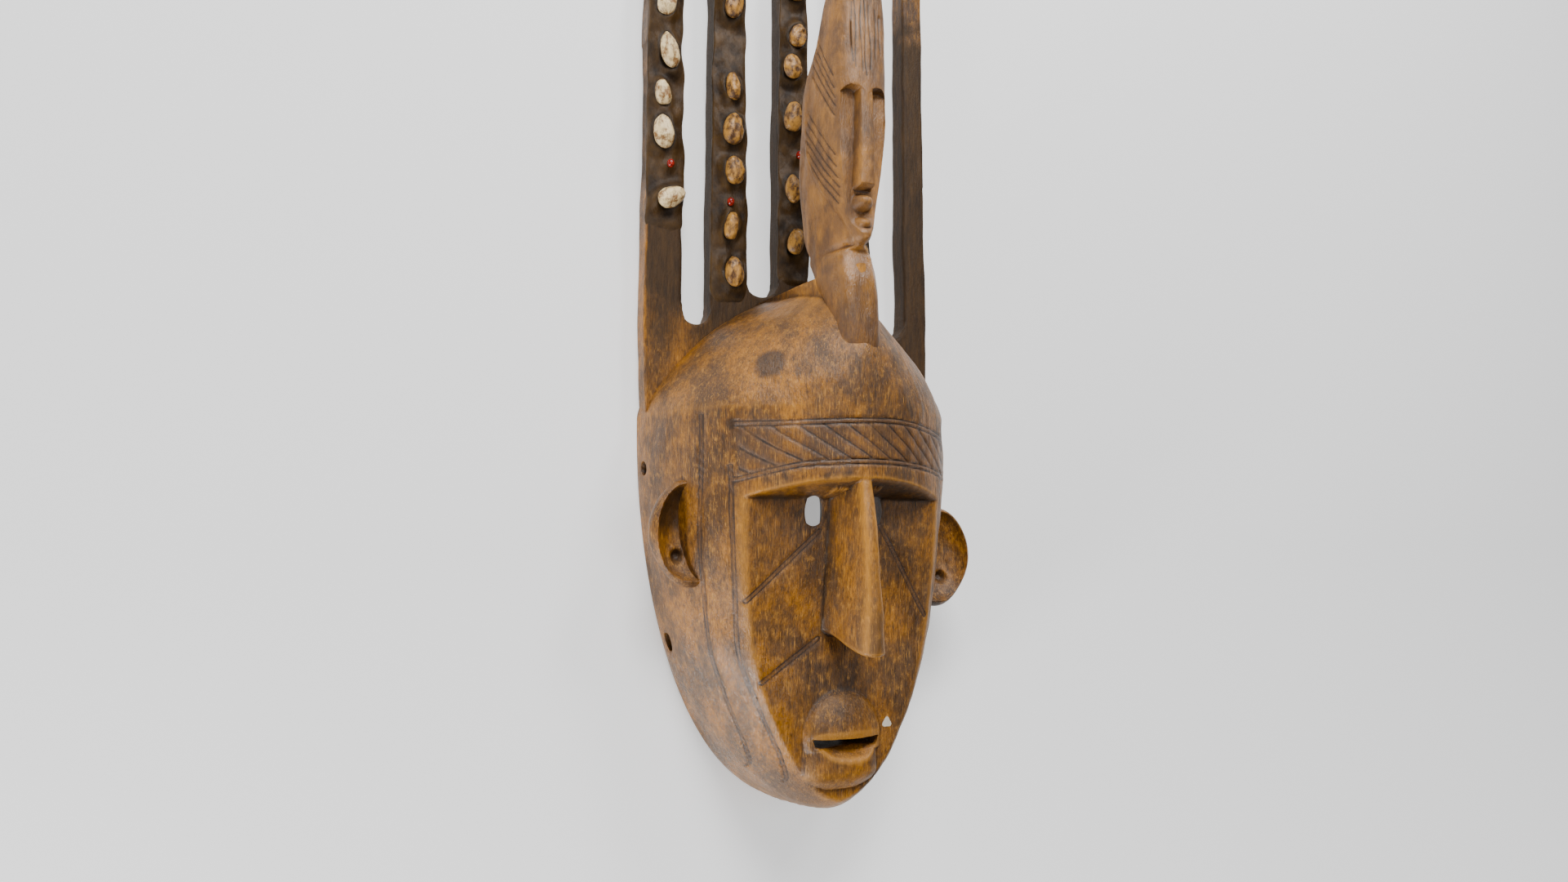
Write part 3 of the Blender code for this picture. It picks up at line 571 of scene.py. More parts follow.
def face_grids(holes):
    """The outer and inner surface of the face as two grids of points with the same rows and columns."""
    rows = np.arange(len(FACE_ROW_PLACES), dtype=float)
    columns = np.arange(-COLUMN_REACH, COLUMN_REACH + 1, dtype=float)
    grid_row, grid_column = np.meshgrid(rows, columns, indexing="ij")
    outer_row, outer_column = grid_row, grid_column
    inner_row, inner_column = grid_row, grid_column
    rims = np.full(grid_row.shape, 9.0)
    for hole in holes:
        outer_row, outer_column, ring = hole.warp(outer_row, outer_column, hole.size, (0.0, 0.0))
        inner_row, inner_column, _ = hole.warp(inner_row, inner_column, hole.inner_size, hole.inner_shift)
        rims = np.minimum(rims, ring - 1.0)
    y = np.interp(outer_row, rows, FACE_ROW_PLACES)
    x = face_column_places(outer_column, y)
    height, pull = face_height(x, y)
    outer = np.stack((x, y - pull, height), axis=-1)
    inner_y = np.interp(inner_row, rows, FACE_ROW_PLACES)
    inner_y = np.where(inner_y < -230.0, -230.0 + (inner_y + 230.0) * (22.9 / 35.9), inner_y)
    inner_y = np.where(inner_y > -20.0, -20.0 + (inner_y + 20.0) * (35.9 / 53.9), inner_y)
    outer_y = np.interp(inner_row, rows, FACE_ROW_PLACES)
    share = face_column_places(inner_column, outer_y) / np.maximum(egg_size(outer_y)[0], 1e-6)
    half_width, depth = hollow_size(inner_y)
    share = np.clip(share, -1.0, 1.0)
    inner_z = depth * np.clip(1.0 - np.abs(share) ** 2.5, 0.0, 1.0) ** 0.4
    inner = np.stack((half_width * share, inner_y, inner_z), axis=-1)
    return outer, inner, rims


def stroke_distance(x, y, start, end):
    """Distance from each place to a straight stroke between two ends."""
    (x0, y0), (x1, y1) = start, end
    length = math.hypot(x1 - x0, y1 - y0)
    along = ((x - x0) * (x1 - x0) + (y - y0) * (y1 - y0)) / length
    side = ((x - x0) * (y1 - y0) - (y - y0) * (x1 - x0)) / length
    beyond = np.maximum(np.maximum(-along, along - length), 0.0)
    return np.hypot(side, beyond)


# Cut lines: x and y along the band over the brow, y and x down the sides, ends of the scars
BROW_LINE_TOP = ((-63.2, -53.3), (-47.8, -53.6), (-35.9, -53.3), (-18.9, -52.6),
                 (4.1, -51.6), (28.8, -51.6), (46.0, -53.5), (67.0, -56.3))
BROW_LINE_LOW = ((-62.0, -82.8), (-47.7, -78.5), (-33.9, -75.4), (-18.9, -74.3),
                 (3.9, -73.3), (33.7, -74.2), (48.1, -75.6), (69.1, -78.8))
OUTER_SIDE_LINE = ((-49.2, 76.4), (-132.0, 73.6), (-166.0, 68.4), (-202.0, 57.5), (-237.0, 40.9))
INNER_SIDE_LINE = ((-76.0, 65.0), (-132.0, 61.8), (-180.0, 55.8), (-206.0, 45.5), (-243.0, 28.0))
SCARS = (
    ((-14.8, -109.8), (-56.7, -146.9)),
    ((-14.0, -168.0), (-47.3, -190.0)),
    ((21.0, -105.0), (52.5, -157.0)),
)
# Slanted strokes in the band: from one to the next, and how far each leans
HATCH_PITCH = 12.3
HATCH_SLANT = 31.0
# Half the distance between the two lines of a pair
DOUBLE_HALF = 1.25


def smooth_curve(places, values, at):
    """A smooth curve through a few values: cubic pieces with even slopes at the joints."""
    places = np.asarray(places, dtype=float)
    values = np.asarray(values, dtype=float)
    slopes = np.gradient(values, places)
    index = np.clip(np.searchsorted(places, at) - 1, 0, len(places) - 2)
    step = places[index + 1] - places[index]
    part = np.clip((at - places[index]) / step, 0.0, 1.0)
    first = (1 + 2 * part) * (1 - part) ** 2 * values[index] + part * (1 - part) ** 2 * step * slopes[index]
    second = part**2 * (3 - 2 * part) * values[index + 1] + part**2 * (part - 1) * step * slopes[index + 1]
    return first + second


def face_cuts(points):
    """Distance to the middle of the nearest pair of cut lines, and to the nearest slanted cut."""
    x, y = points[..., 0], points[..., 1]
    across = np.gradient(points, axis=1)
    run = np.abs(across[..., 0])
    stretch = np.clip(np.hypot(run, across[..., 2]) / np.maximum(run, 1e-6), 1.0, 6.0)
    top = smooth_curve(*zip(*BROW_LINE_TOP), x)
    low = smooth_curve(*zip(*BROW_LINE_LOW), x)
    on_band = (x > -64.0) & (x < 71.0)
    pair = np.where(on_band, np.minimum(np.abs(y - top), np.abs(y - low)), NO_CUT)
    level = (y - low) / (top - low)
    phase = (x - HATCH_SLANT * np.clip(1.0 - level, 0.0, None) ** 1.12) / HATCH_PITCH
    offset = np.sin(np.pi * phase) * HATCH_PITCH * 0.52 / np.pi
    inside = (level > 0.06) & (level < 0.94) & (x > -62.0) & (x < 70.0)
    single = np.where(inside, offset, NO_CUT)
    for line, low_y, high_y in ((OUTER_SIDE_LINE, -241.0, -47.0), (INNER_SIDE_LINE, -246.0, -74.0)):
        places, values = zip(*line[::-1])
        distance = np.abs(np.abs(x) - smooth_curve(places, values, y)) * stretch
        pair = np.minimum(pair, np.where((y > low_y) & (y < high_y), distance, NO_CUT))
    for start, end in SCARS:
        pair = np.minimum(pair, stroke_distance(x, y, start, end) * 1.15)
    return pair, single


def cut_depth(pair, single):
    """How deep the lines are cut, in millimetres: a pair is two bell-shaped grooves, a single one is one."""
    look = bpy.context.scene.mask_wood
    two = np.exp(-(((pair - DOUBLE_HALF) / 0.62) ** 2))
    one = np.exp(-((single / 0.60) ** 2))
    return (look.double_depth * two + look.single_depth * one) / MM


# Dark stains and ticks: x, y, z, radius and strength; the pale chip: x, y and radius
STAINS = (
    (-46.2, -20.0, 85.0, 9.0, 1.0),
    (-64.8, -53.2, 76.4, 3.4, 0.9),
    (-51.2, -83.6, 88.7, 1.8, 0.6),
    (-41.4, -82.2, 95.5, 1.6, 0.5),
    (-22.0, -81.5, 104.4, 1.8, 0.7),
    (-12.4, -80.5, 106.7, 2.0, 0.6),
    (28.8, -45.0, 102.1, 4.5, 0.6),
    (28.8, -56.0, 102.1, 3.6, 0.7),
    (28.7, -67.0, 102.1, 3.6, 0.6),
    (-38.0, -63.0, 97.0, 9.0, 0.25),
)
PALE_CHIP = (27.8, -215.0, 2.6)


def stain_amount(points):
    """Dark round stains and ticks, 0 to 1, soft at their edges, and the three-cornered pale chip, below 0."""
    total = np.zeros(points.shape[:-1])
    for x, y, z, radius, strength in STAINS:
        distance = np.linalg.norm(points - np.array((x, y, z)), axis=-1)
        total = np.maximum(total, strength * smooth_step(radius * 1.25, radius * 0.72, distance))
    chip_x, chip_y = points[..., 0] - PALE_CHIP[0], points[..., 1] - PALE_CHIP[1]
    distance = np.hypot(chip_x, chip_y) * (1.0 + 0.2 * np.sin(3.0 * np.arctan2(chip_y, chip_x)))
    chip = smooth_step(PALE_CHIP[2] * 1.3, PALE_CHIP[2] * 0.7, distance) * (points[..., 2] > 40.0)
    return total - 1.2 * chip


def build_face(material):
    """The face: outer and inner grid, joined at the rims, at both ends and around every hole.

    It is made as two pieces that meet in the crease under the brow, where the seam lies in shade.
    """
    holes = face_holes()
    outer, inner, rims = face_grids(holes)
    rows, columns = outer.shape[:2]
    normal = grid_normals(outer)
    pair, single = face_cuts(outer)
    single = np.where(np.abs(single) > 3.0, 3.0, single)
    pair = np.minimum(pair, 4.5)
    # Dark in hollows, as grime and painted shade, and over the flat cheeks where they lie deep in the
    # egg, as painted shade
    sunk = cavity(outer, 10)
    half_width, depth, power = egg_size(outer[..., 1])
    egg = depth * (1.0 - np.clip(np.abs(outer[..., 0]) / half_width, 0.0, 1.0) ** power) ** (1.0 / power)
    # Painted shade on the flat cheeks under the brow
    recess = smooth_step(1.0, 7.0, egg - outer[..., 2]) * smooth_step(-175.0, -125.0, outer[..., 1])
    sunk = sunk + 0.17 * recess * smooth_step(90.0, 84.0, outer[..., 2]) * (outer[..., 2] > 60.0)
    # Tool marks and cut lines, none at the rims of holes, whose edges are worn round
    calm = smooth_step(0.0, 0.35, rims)[..., None]
    tool = 0.22 * ripple(outer, 14.0, 3, (1.0, 0.45, 1.0)) + 0.10 * ripple(outer, 5.0, 4, (1.0, 0.35, 1.0))
    tool = tool + 0.55 * ripple(outer, 60.0, 5)
    tool = tool * smooth_step(0.0, 6.0, outer[..., 2])
    push = tool - cut_depth(pair, single)
    outer = outer + normal * push[..., None] * calm
    edge = np.clip(1.0 - rims / 0.22, 0.0, 1.0)[..., None]
    outer = outer - normal * 0.8 * edge**2 * (outer[..., 2:3] > 20.0)
    rough = 0.5 * ripple(inner, 16.0, 8) + 0.35 * ripple(inner, 6.0, 9, (1.0, 0.4, 1.0))
    rough = rough * smooth_step(1.0, 8.0, inner[..., 2]) * (rims > 0.3)
    inner = inner - grid_normals(inner) * rough[..., None]

    keep = np.ones((rows - 1, columns - 1), dtype=bool)
    for hole in holes:
        (row_low, row_high), (column_low, column_high) = hole.block()
        keep[row_low:row_high, column_low:column_high] = False

    seam = int(row_of(SEAM_Y))
    pieces = []
    fields = {
        "sunk": (sunk, 0.0),
        "pair": (pair, NO_CUT),
        "single": (single, NO_CUT),
        # Stains and the pale chip on the front; 0.7 paints shade over the inside, the rims and the walls of
        # holes
        "stain_and_shade": (stain_amount(outer), 0.7),
    }
    for name, first, last in (("face_below_brow", 0, seam), ("face_above_brow", seam, rows - 1)):
        part = slice(first, last + 1)
        number = np.arange((last - first + 1) * columns).reshape(-1, columns)
        loops = [(border_loop(number), 5)]
        for hole in holes:
            (row_low, row_high), (column_low, column_high) = hole.block()
            if row_low < first or row_high > last:
                continue
            block = number[row_low - first:row_high - first + 1, column_low:column_high + 1]
            loops.append((border_loop(block), 7))
        part_fields = {key: (values[part], elsewhere) for key, (values, elsewhere) in fields.items()}
        pieces.append(slab(name, outer[part], inner[part], keep[first:last], loops, material, part_fields))
    return pieces


HORN_COLUMNS = 14
GAP_COLUMNS = 9
COMB_LOW_ROWS = 30
COMB_HIGH_ROWS = 180
HORN_TAPER = 0.14
GAP_FLOORS = (OUTER_GAP_Y, INNER_GAP_Y, INNER_GAP_Y, OUTER_GAP_Y)
GAP_ROUND = 8.0
COMB_EDGE_RADIUS = 1.9


def horn_middle(number):
    """Where the middle line of a horn runs, counted from the left; the outer two keep to the mask's width."""
    if number == 0:
        return -HALF_WIDTH + HORN_HALF_WIDTHS[0]
    if number == 4:
        return HALF_WIDTH - HORN_HALF_WIDTHS[4]
    return (number - 2) * HORN_PITCH


def horn_half(number, y):
    """Half width of a horn: it narrows a little towards its tip."""
    part = np.clip((y - OUTER_GAP_Y - 30.0) / (HORN_TIP_Y - OUTER_GAP_Y - 30.0), 0.0, 1.0)
    return HORN_HALF_WIDTHS[number] * (1.0 - HORN_TAPER * part)


def comb_grid():
    """Front of the comb as a grid: columns follow the horns and the gaps, rows follow the gap floors.

    Returns x, y, the distance to the nearest edge, and which columns belong to gaps.
    """
    low_rows = np.linspace(0.0, 1.0, COMB_LOW_ROWS)
    high_rows = 1.0 - (1.0 - np.linspace(0.0, 1.0, COMB_HIGH_ROWS)) ** 1.15
    x_parts, y_parts, edge_parts, gap_parts = [], [], [], []
    for number in range(5):
        spread = np.sin(np.linspace(-math.pi / 2, math.pi / 2, HORN_COLUMNS + 1))
        spread = 0.55 * spread + 0.45 * np.linspace(-1.0, 1.0, HORN_COLUMNS + 1)
        tip_y = HORN_TIP_Y - HORN_SHORT[number]
        half = HORN_HALF_WIDTHS[number]
        radius = half * 0.62
        shoulder = np.clip((np.abs(spread) * half - (half - radius)) / radius, 0.0, 1.0)
        tip = tip_y - radius * (1.0 - np.sqrt(1.0 - shoulder**2 * 0.999))
        left_floor = GAP_FLOORS[max(number - 1, 0)]
        right_floor = GAP_FLOORS[min(number, 3)]
        blend = smooth_step(-1.0, 1.0, spread)
        line = left_floor + (right_floor - left_floor) * blend + GAP_ROUND
        foot = comb_foot(horn_middle(number) + spread * half)
        low = foot + (line - foot) * low_rows[:, None]
        high = line + (tip - line) * high_rows[1:, None]
        y = np.concatenate((low, high))
        halves = horn_half(number, y)
        x = horn_middle(number) + spread * halves
        x_parts.append(x)
        y_parts.append(y)
        side = (1.0 - np.abs(spread)) * halves
        above = smooth_step(line - GAP_ROUND, line + 4.0, y)
        open_left = 1.0 if number > 0 else 0.0
        open_right = 1.0 if number < 4 else 0.0
        inner_side = np.where(spread < 0.0, open_left, open_right)
        side = side + (1.0 - above) * inner_side * 30.0
        edge_parts.append(np.minimum(side, tip_y - y + 0.0 * side))
        gap_parts.append(np.zeros(HORN_COLUMNS, dtype=bool))
        if number == 4:
            break
        span = np.linspace(0.0, 1.0, GAP_COLUMNS + 1)[1:-1]
        left = horn_middle(number) + HORN_HALF_WIDTHS[number]
        right = horn_middle(number + 1) - HORN_HALF_WIDTHS[number + 1]
        x_gap = left + (right - left) * span
        dip = GAP_ROUND * np.sqrt(1.0 - (2.0 * span - 1.0) ** 2)
        floor = right_floor + GAP_ROUND
        foot = comb_foot(x_gap)
        y = foot + (floor - dip - foot) * low_rows[:, None]
        x_low = np.broadcast_to(x_gap, y.shape)
        stack = np.repeat(y[-1:], COMB_HIGH_ROWS - 1, axis=0)
        y_parts.append(np.concatenate((y, stack)))
        x_parts.append(np.concatenate((x_low, np.repeat(x_low[-1:], COMB_HIGH_ROWS - 1, axis=0))))
        edge = (floor - dip) - y
        edge_parts.append(np.concatenate((edge, np.zeros(stack.shape))))
        gap_parts.append(np.ones(GAP_COLUMNS, dtype=bool))
    return (np.concatenate(x_parts, axis=1), np.concatenate(y_parts, axis=1),
            np.concatenate(edge_parts, axis=1), np.concatenate(gap_parts))


def comb_foot(x):
    """The lower edge of the comb: an arc that runs inside the wall of the face."""
    part = np.clip(np.abs(x) / 90.5, 0.0, 1.0)
    arc = WIDEST_Y + 69.0 * rounded(part, 1.62)
    return np.where(np.abs(x) > 88.0, WIDEST_Y - 6.0 + 0.0 * arc, np.maximum(arc, WIDEST_Y - 6.0))


def build_comb(material):
    """The comb and its five horns: one flat plate with rounded edges, cut by hand."""
    x, y, edge, gap_columns = comb_grid()
    rows, columns = x.shape
    part = np.clip(1.0 - edge / COMB_EDGE_RADIUS, 0.0, 1.0)
    fall = COMB_EDGE_RADIUS * (1.0 - np.sqrt(1.0 - part**2 * 0.98))
    front = np.stack((x, y, COMB_THICK - fall), axis=-1)
    back = np.stack((x, y, fall * 0.45), axis=-1)
    sway = np.stack((0.45 * ripple(front, 60.0, 11) + 0.16 * ripple(front, 17.0, 12),
                     0.25 * ripple(front, 30.0, 13), np.zeros(x.shape)), axis=-1)
    hold = smooth_step(0.0, 30.0, y - WIDEST_Y)[..., None]
    inward = np.where(np.abs(x) > 94.0, -np.sign(x) * (0.45 + 1.6 * smooth_step(0.0, -48.0, y)), 0.0)
    front = front + sway * hold
    back = back + sway * hold
    front[..., 0] += inward
    back[..., 0] += inward
    along_grain = (1.0, 0.3, 1.0)
    saw_marks = 0.20 * ripple(front, 22.0, 14, along_grain) + 0.08 * ripple(front, 6.0, 15, along_grain)
    front[..., 2] += saw_marks - 0.2
    back[..., 2] += 0.12 + 0.10 * ripple(back, 22.0, 16, along_grain)
    keep = np.ones((rows - 1, columns - 1), dtype=bool)
    keep[COMB_LOW_ROWS - 1:, gap_columns] = False
    number = np.arange(rows * columns).reshape(rows, columns)
    # The border: up the left side, over each horn's tip, down and up each gap, down the right side, back
    top = rows - 1
    knee = COMB_LOW_ROWS - 1
    column = 0
    line = [number[:top, 0]]
    for start in np.flatnonzero(np.diff(gap_columns.astype(int)) == 1) + 1:
        line.append(number[top, column:start])
        line.append(number[top:knee:-1, start])
        line.append(number[knee, start:start + GAP_COLUMNS])
        line.append(number[knee:top, start + GAP_COLUMNS])
        column = start + GAP_COLUMNS
    line.append(number[top, column:-1])
    line.append(number[top:0:-1, -1])
    line.append(number[0, :0:-1])
    fields = {"sunk": (np.zeros(x.shape), 0.0)}
    return slab("comb", front, back, keep, [(np.concatenate(line), 6)], material, fields)


HEAD_HALF = 17.2
HEAD_BACK_COLUMNS = 16
HEAD_SIDE_COLUMNS = 50
HEAD_FRONT_COLUMNS = 78
HEAD_ROWS = ((-30.0, 40.0, 64), (40.0, 50.0, 22), (50.0, 78.0, 56), (78.0, 126.0, 56), (126.0, 134.0, 16),
             (134.0, 205.0, 70), (205.0, 214.2, 15))

# Rings of the neck and head: y, share of the half width, back z, front z, how square, how slim in front
HEAD_RINGS = (
    (-30.0, 0.70, 85.0, 100.0, 3.5, 0.0),
    (-8.0, 0.71, 80.5, 106.0, 3.5, 0.0),
    (12.0, 0.71, 79.0, 106.0, 3.5, 0.0),
    (28.0, 0.71, 66.0, 104.0, 3.5, 0.0),
    (39.0, 0.72, 58.5, 100.6, 3.4, 0.0),
    (42.0, 0.73, 56.5, 100.4, 3.4, 0.2),
    (44.2, 0.74, 55.5, 103.5, 3.0, 0.66),
    (46.5, 0.75, 54.2, 108.0, 2.8, 0.60),
    (52.0, 0.77, 51.0, 109.2, 3.2, 0.46),
    (68.0, 0.85, 47.5, 110.2, 3.4, 0.30),
    (90.0, 0.96, 46.0, 110.8, 3.5, 0.12),
    (112.0, 1.00, 47.0, 111.0, 3.5, 0.05),
    (131.0, 1.00, 51.0, 110.5, 3.5, 0.03),
    (149.0, 1.00, 60.0, 109.8, 3.5, 0.03),
    (167.0, 0.98, 76.0, 109.0, 3.4, 0.03),
    (185.0, 0.92, 82.0, 108.0, 3.2, 0.03),
    (200.0, 0.80, 84.5, 106.0, 2.8, 0.0),
    (209.0, 0.58, 88.0, 102.0, 2.4, 0.0),
    (213.0, 0.30, 91.5, 98.5, 2.2, 0.0),
    (214.2, 0.02, 94.5, 95.5, 2.0, 0.0),
)


def square_walk():
    """Places around a square from the middle of its back, more of them along the front."""
    back = np.linspace(0.0, 1.0, HEAD_BACK_COLUMNS // 2, endpoint=False)
    side = np.linspace(-1.0, 1.0, HEAD_SIDE_COLUMNS, endpoint=False)
    front = np.linspace(1.0, -1.0, HEAD_FRONT_COLUMNS, endpoint=False)
    across = np.concatenate((back, np.ones(len(side)), front, -np.ones(len(side)), back - 1.0))
    along = np.concatenate((-np.ones(len(back)), side, np.ones(len(front)), -side, -np.ones(len(back))))
    return across, along


def little_face_height(x, y):
    """How far forward the little face may reach: flats under brow arcs, with a nose and lips on them."""
    side = np.abs(x)
    arc = 130.0 - 1.6 * ((side - 8.2) / 4.6) ** 2
    cheek = 103.7 + 0.25 * (side / 9.0) ** 2 + 0.018 * (y - 90.0)
    above = smooth_step(-0.9, 1.3, y - arc)
    jaw = smooth_step(13.2, 15.2, side + 0.16 * np.clip(86.0 - y, 0.0, 40.0))
    chin = np.exp(-(((y - 49.5) / 6.0) ** 2) - (side / 10.0) ** 2)
    limit = cheek + 9.0 * np.maximum(np.maximum(above, 0.66 * chin), 0.6 * jaw)
    part = np.clip((134.0 - y) / 60.0, 0.0, 1.0)
    front = 110.6 + 1.5 * part - 0.8 * (side / 4.3) ** 2
    half = 3.5 + 0.35 * part + 0.6 * smooth_step(86.0, 76.0, y)
    nose = front - np.clip(side - half, 0.0, None) * 5.0
    end = np.clip((76.2 - y) / 1.9, 0.0, None)
    nose = nose - 6.5 * (1.0 - rounded(np.minimum(end, 1.0), 2)) - 40.0 * np.clip(end - 1.0, 0.0, None)
    nose = np.where(y > 140.0, 0.0, nose)
    lips = np.zeros(x.shape)
    for low, high, depth, half in ((62.6, 71.2, 111.4, 6.0), (51.4, 59.2, 110.0, 5.6)):
        level = np.clip(np.abs(y - (low + high) / 2) / ((high - low) / 2), 0.0, 1.2)
        wide = np.clip(side / half, 0.0, 1.4)
        lips = np.maximum(lips, depth - 6.5 * (level**2.6 + wide**2.8) - 0.9 * wide**2)
    return limit, soft_max(nose, lips, 0.8)


# Hair strokes: x and the range of y; strokes at the sides, beyond an x: y and z of both ends
SIDE_STROKE_X = 8.5
HAIR_STROKES = ((-8.2, 143.0, 178.0), (-6.1, 140.0, 181.0), (-2.6, 137.5, 182.0), (-0.2, 136.0, 183.0),
                (2.6, 140.0, 178.0), (6.2, 146.0, 176.0), (9.5, 150.0, 172.0))
SIDE_STROKES = (
    ((164.2, 83.0), (137.0, 101.0)),
    ((161.0, 80.5), (130.0, 101.5)),
    ((157.0, 79.0), (124.5, 102.0)),
    ((152.0, 77.5), (120.0, 102.0)),
    ((145.5, 77.5), (115.0, 101.0)),
    ((125.0, 73.5), (93.0, 100.5)),
    ((121.0, 71.5), (86.5, 100.5)),
    ((116.0, 70.0), (80.5, 100.5)),
    ((110.5, 70.5), (75.5, 100.0)),
    ((104.0, 71.5), (71.0, 99.0)),
    ((97.0, 73.0), (67.5, 97.0)),
)


def head_cuts(points):
    """Cut lines of the little head: hair strokes over the brow and slanted groups at the sides."""
    x, y, z = points[..., 0], points[..., 1], points[..., 2]
    line = np.full(x.shape, 9.0)
    for middle, low, high in HAIR_STROKES:
        distance = x - middle - 0.45 * np.sin(y * 0.16 + middle)
        inside = (z > 100.0) & (y > low) & (y < high)
        line = np.where(inside, np.minimum(np.abs(distance), line), line)
    for start, end in SIDE_STROKES:
        distance = stroke_distance(y, z, start, end)
        line = np.where(np.abs(x) > SIDE_STROKE_X, np.minimum(distance, line), line)
    return line


def build_little_head(material):
    """The little head on its neck: rounded rings stacked along y, with its face carved in front."""
    table = np.array(HEAD_RINGS)
    y_rows = row_places(HEAD_ROWS)
    width, back, front, power, narrow = (
        smooth_curve(table[:, 0], table[:, column], y_rows)[:, None] for column in range(1, 6))
    across, along = square_walk()
    size = (np.abs(across) ** power + np.abs(along) ** power) ** (1.0 / power)
    ring_x = across / size
    ring_z = along / size
    slim = 1.0 - np.clip(narrow, 0.0, 1.0) * smooth_step(-0.35, 1.0, ring_z)
    x = HEAD_HALF * width * ring_x * slim
    y = np.broadcast_to(y_rows[:, None], x.shape)
    z = (front + back) / 2 + (front - back) / 2 * ring_z
    jaw_z = 101.0 - 34.0 * smooth_step(50.0, 112.0, y) ** 0.8
    jaw = smooth_step(-1.4, 1.4, z - jaw_z) * smooth_step(43.0, 50.0, y) * smooth_step(172.0, 120.0, y)
    at_side = smooth_step(0.5, 0.9, np.abs(ring_x)) * smooth_step(43.0, 60.0, y)
    x = x + np.sign(x) * (0.9 * jaw - 0.45) * at_side
    limit, proud = little_face_height(x, y)
    carved = soft_min(z, limit, 0.7)
    carved = np.where(np.abs(x) < 9.0, soft_max(carved, proud, 0.7), carved)
    is_front = smooth_step(0.50, 0.62, ring_z) * smooth_step(46.5, 48.5, y)
    z = z + (carved - z) * is_front
    points = np.stack((x, y, z), axis=-1)
    wrapped = np.concatenate((points[:, -8:], points, points[:, :8]), axis=1)
    normal = -grid_normals(wrapped)[:, 8:-8]
    # Hollows of the little head get grime and painted shade from this, its crests the colour of wear
    sunk = np.maximum(-cavity(wrapped, 10)[:, 8:-8], -0.12)
    line = np.clip(head_cuts(points), -3.0, 3.0)
    push = 0.22 * ripple(points, 13.0, 21, (1.0, 0.5, 1.0)) + 0.40 * ripple(points, 40.0, 22)
    push = push + 0.07 * ripple(points, 4.0, 23, (1.0, 0.5, 1.0))
    depth = bpy.context.scene.mask_wood.head_depth / MM * np.where(np.abs(x) > SIDE_STROKE_X, 1.0, 0.40)
    push = push - depth * np.exp(-((line / 0.70) ** 2))
    points = points + normal * (push * smooth_step(214.0, 205.0, y))[..., None]
    rows, columns = x.shape
    closed, quads = ring_faces(rows, columns)
    ends = np.stack((points[0].mean(axis=0), points[-1].mean(axis=0)))
    hub = np.full(columns, rows * columns)
    low = np.stack((closed[0][1:], closed[0][:-1], hub), axis=-1)
    high = np.stack((closed[-1][:-1], closed[-1][1:], hub + 1), axis=-1)
    # The whole little head gets the grey-brown of the middle of a pair of lines as painted shade, so its pair
    # distance is 0
    attributes = {
        "sunk": np.append(sunk.ravel(), (0.0, 0.0)),
        "single": np.append(line.ravel(), (9.0, 9.0)),
        "pair": np.zeros(rows * columns + 2),
    }
    points = np.concatenate((points.reshape(-1, 3), ends))
    return make_piece("little_head", points, quads, material, attributes, np.concatenate((low, high)))


EAR_X = 77.0
EAR_REACH = 23.5
EAR_Z = 48.0
EAR_HALF_HEIGHT = 29.5
EAR_HALF_THICK = 12.0
EAR_Y_LEFT = -110.5
EAR_Y_RIGHT = -124.5
EAR_RINGS = 44
EAR_SPOKES = 120

# Bowl of the ear: where its oval begins, its size and depth, and the hole in it
BOWL_X = 81.0
BOWL_REACH = 16.8
BOWL_HALF_HEIGHT = 27.8
BOWL_RIM_Z = 57.5
BOWL_DEPTH = 14.8
EAR_HOLE_X = 84.0
EAR_HOLE_BELOW = 13.0


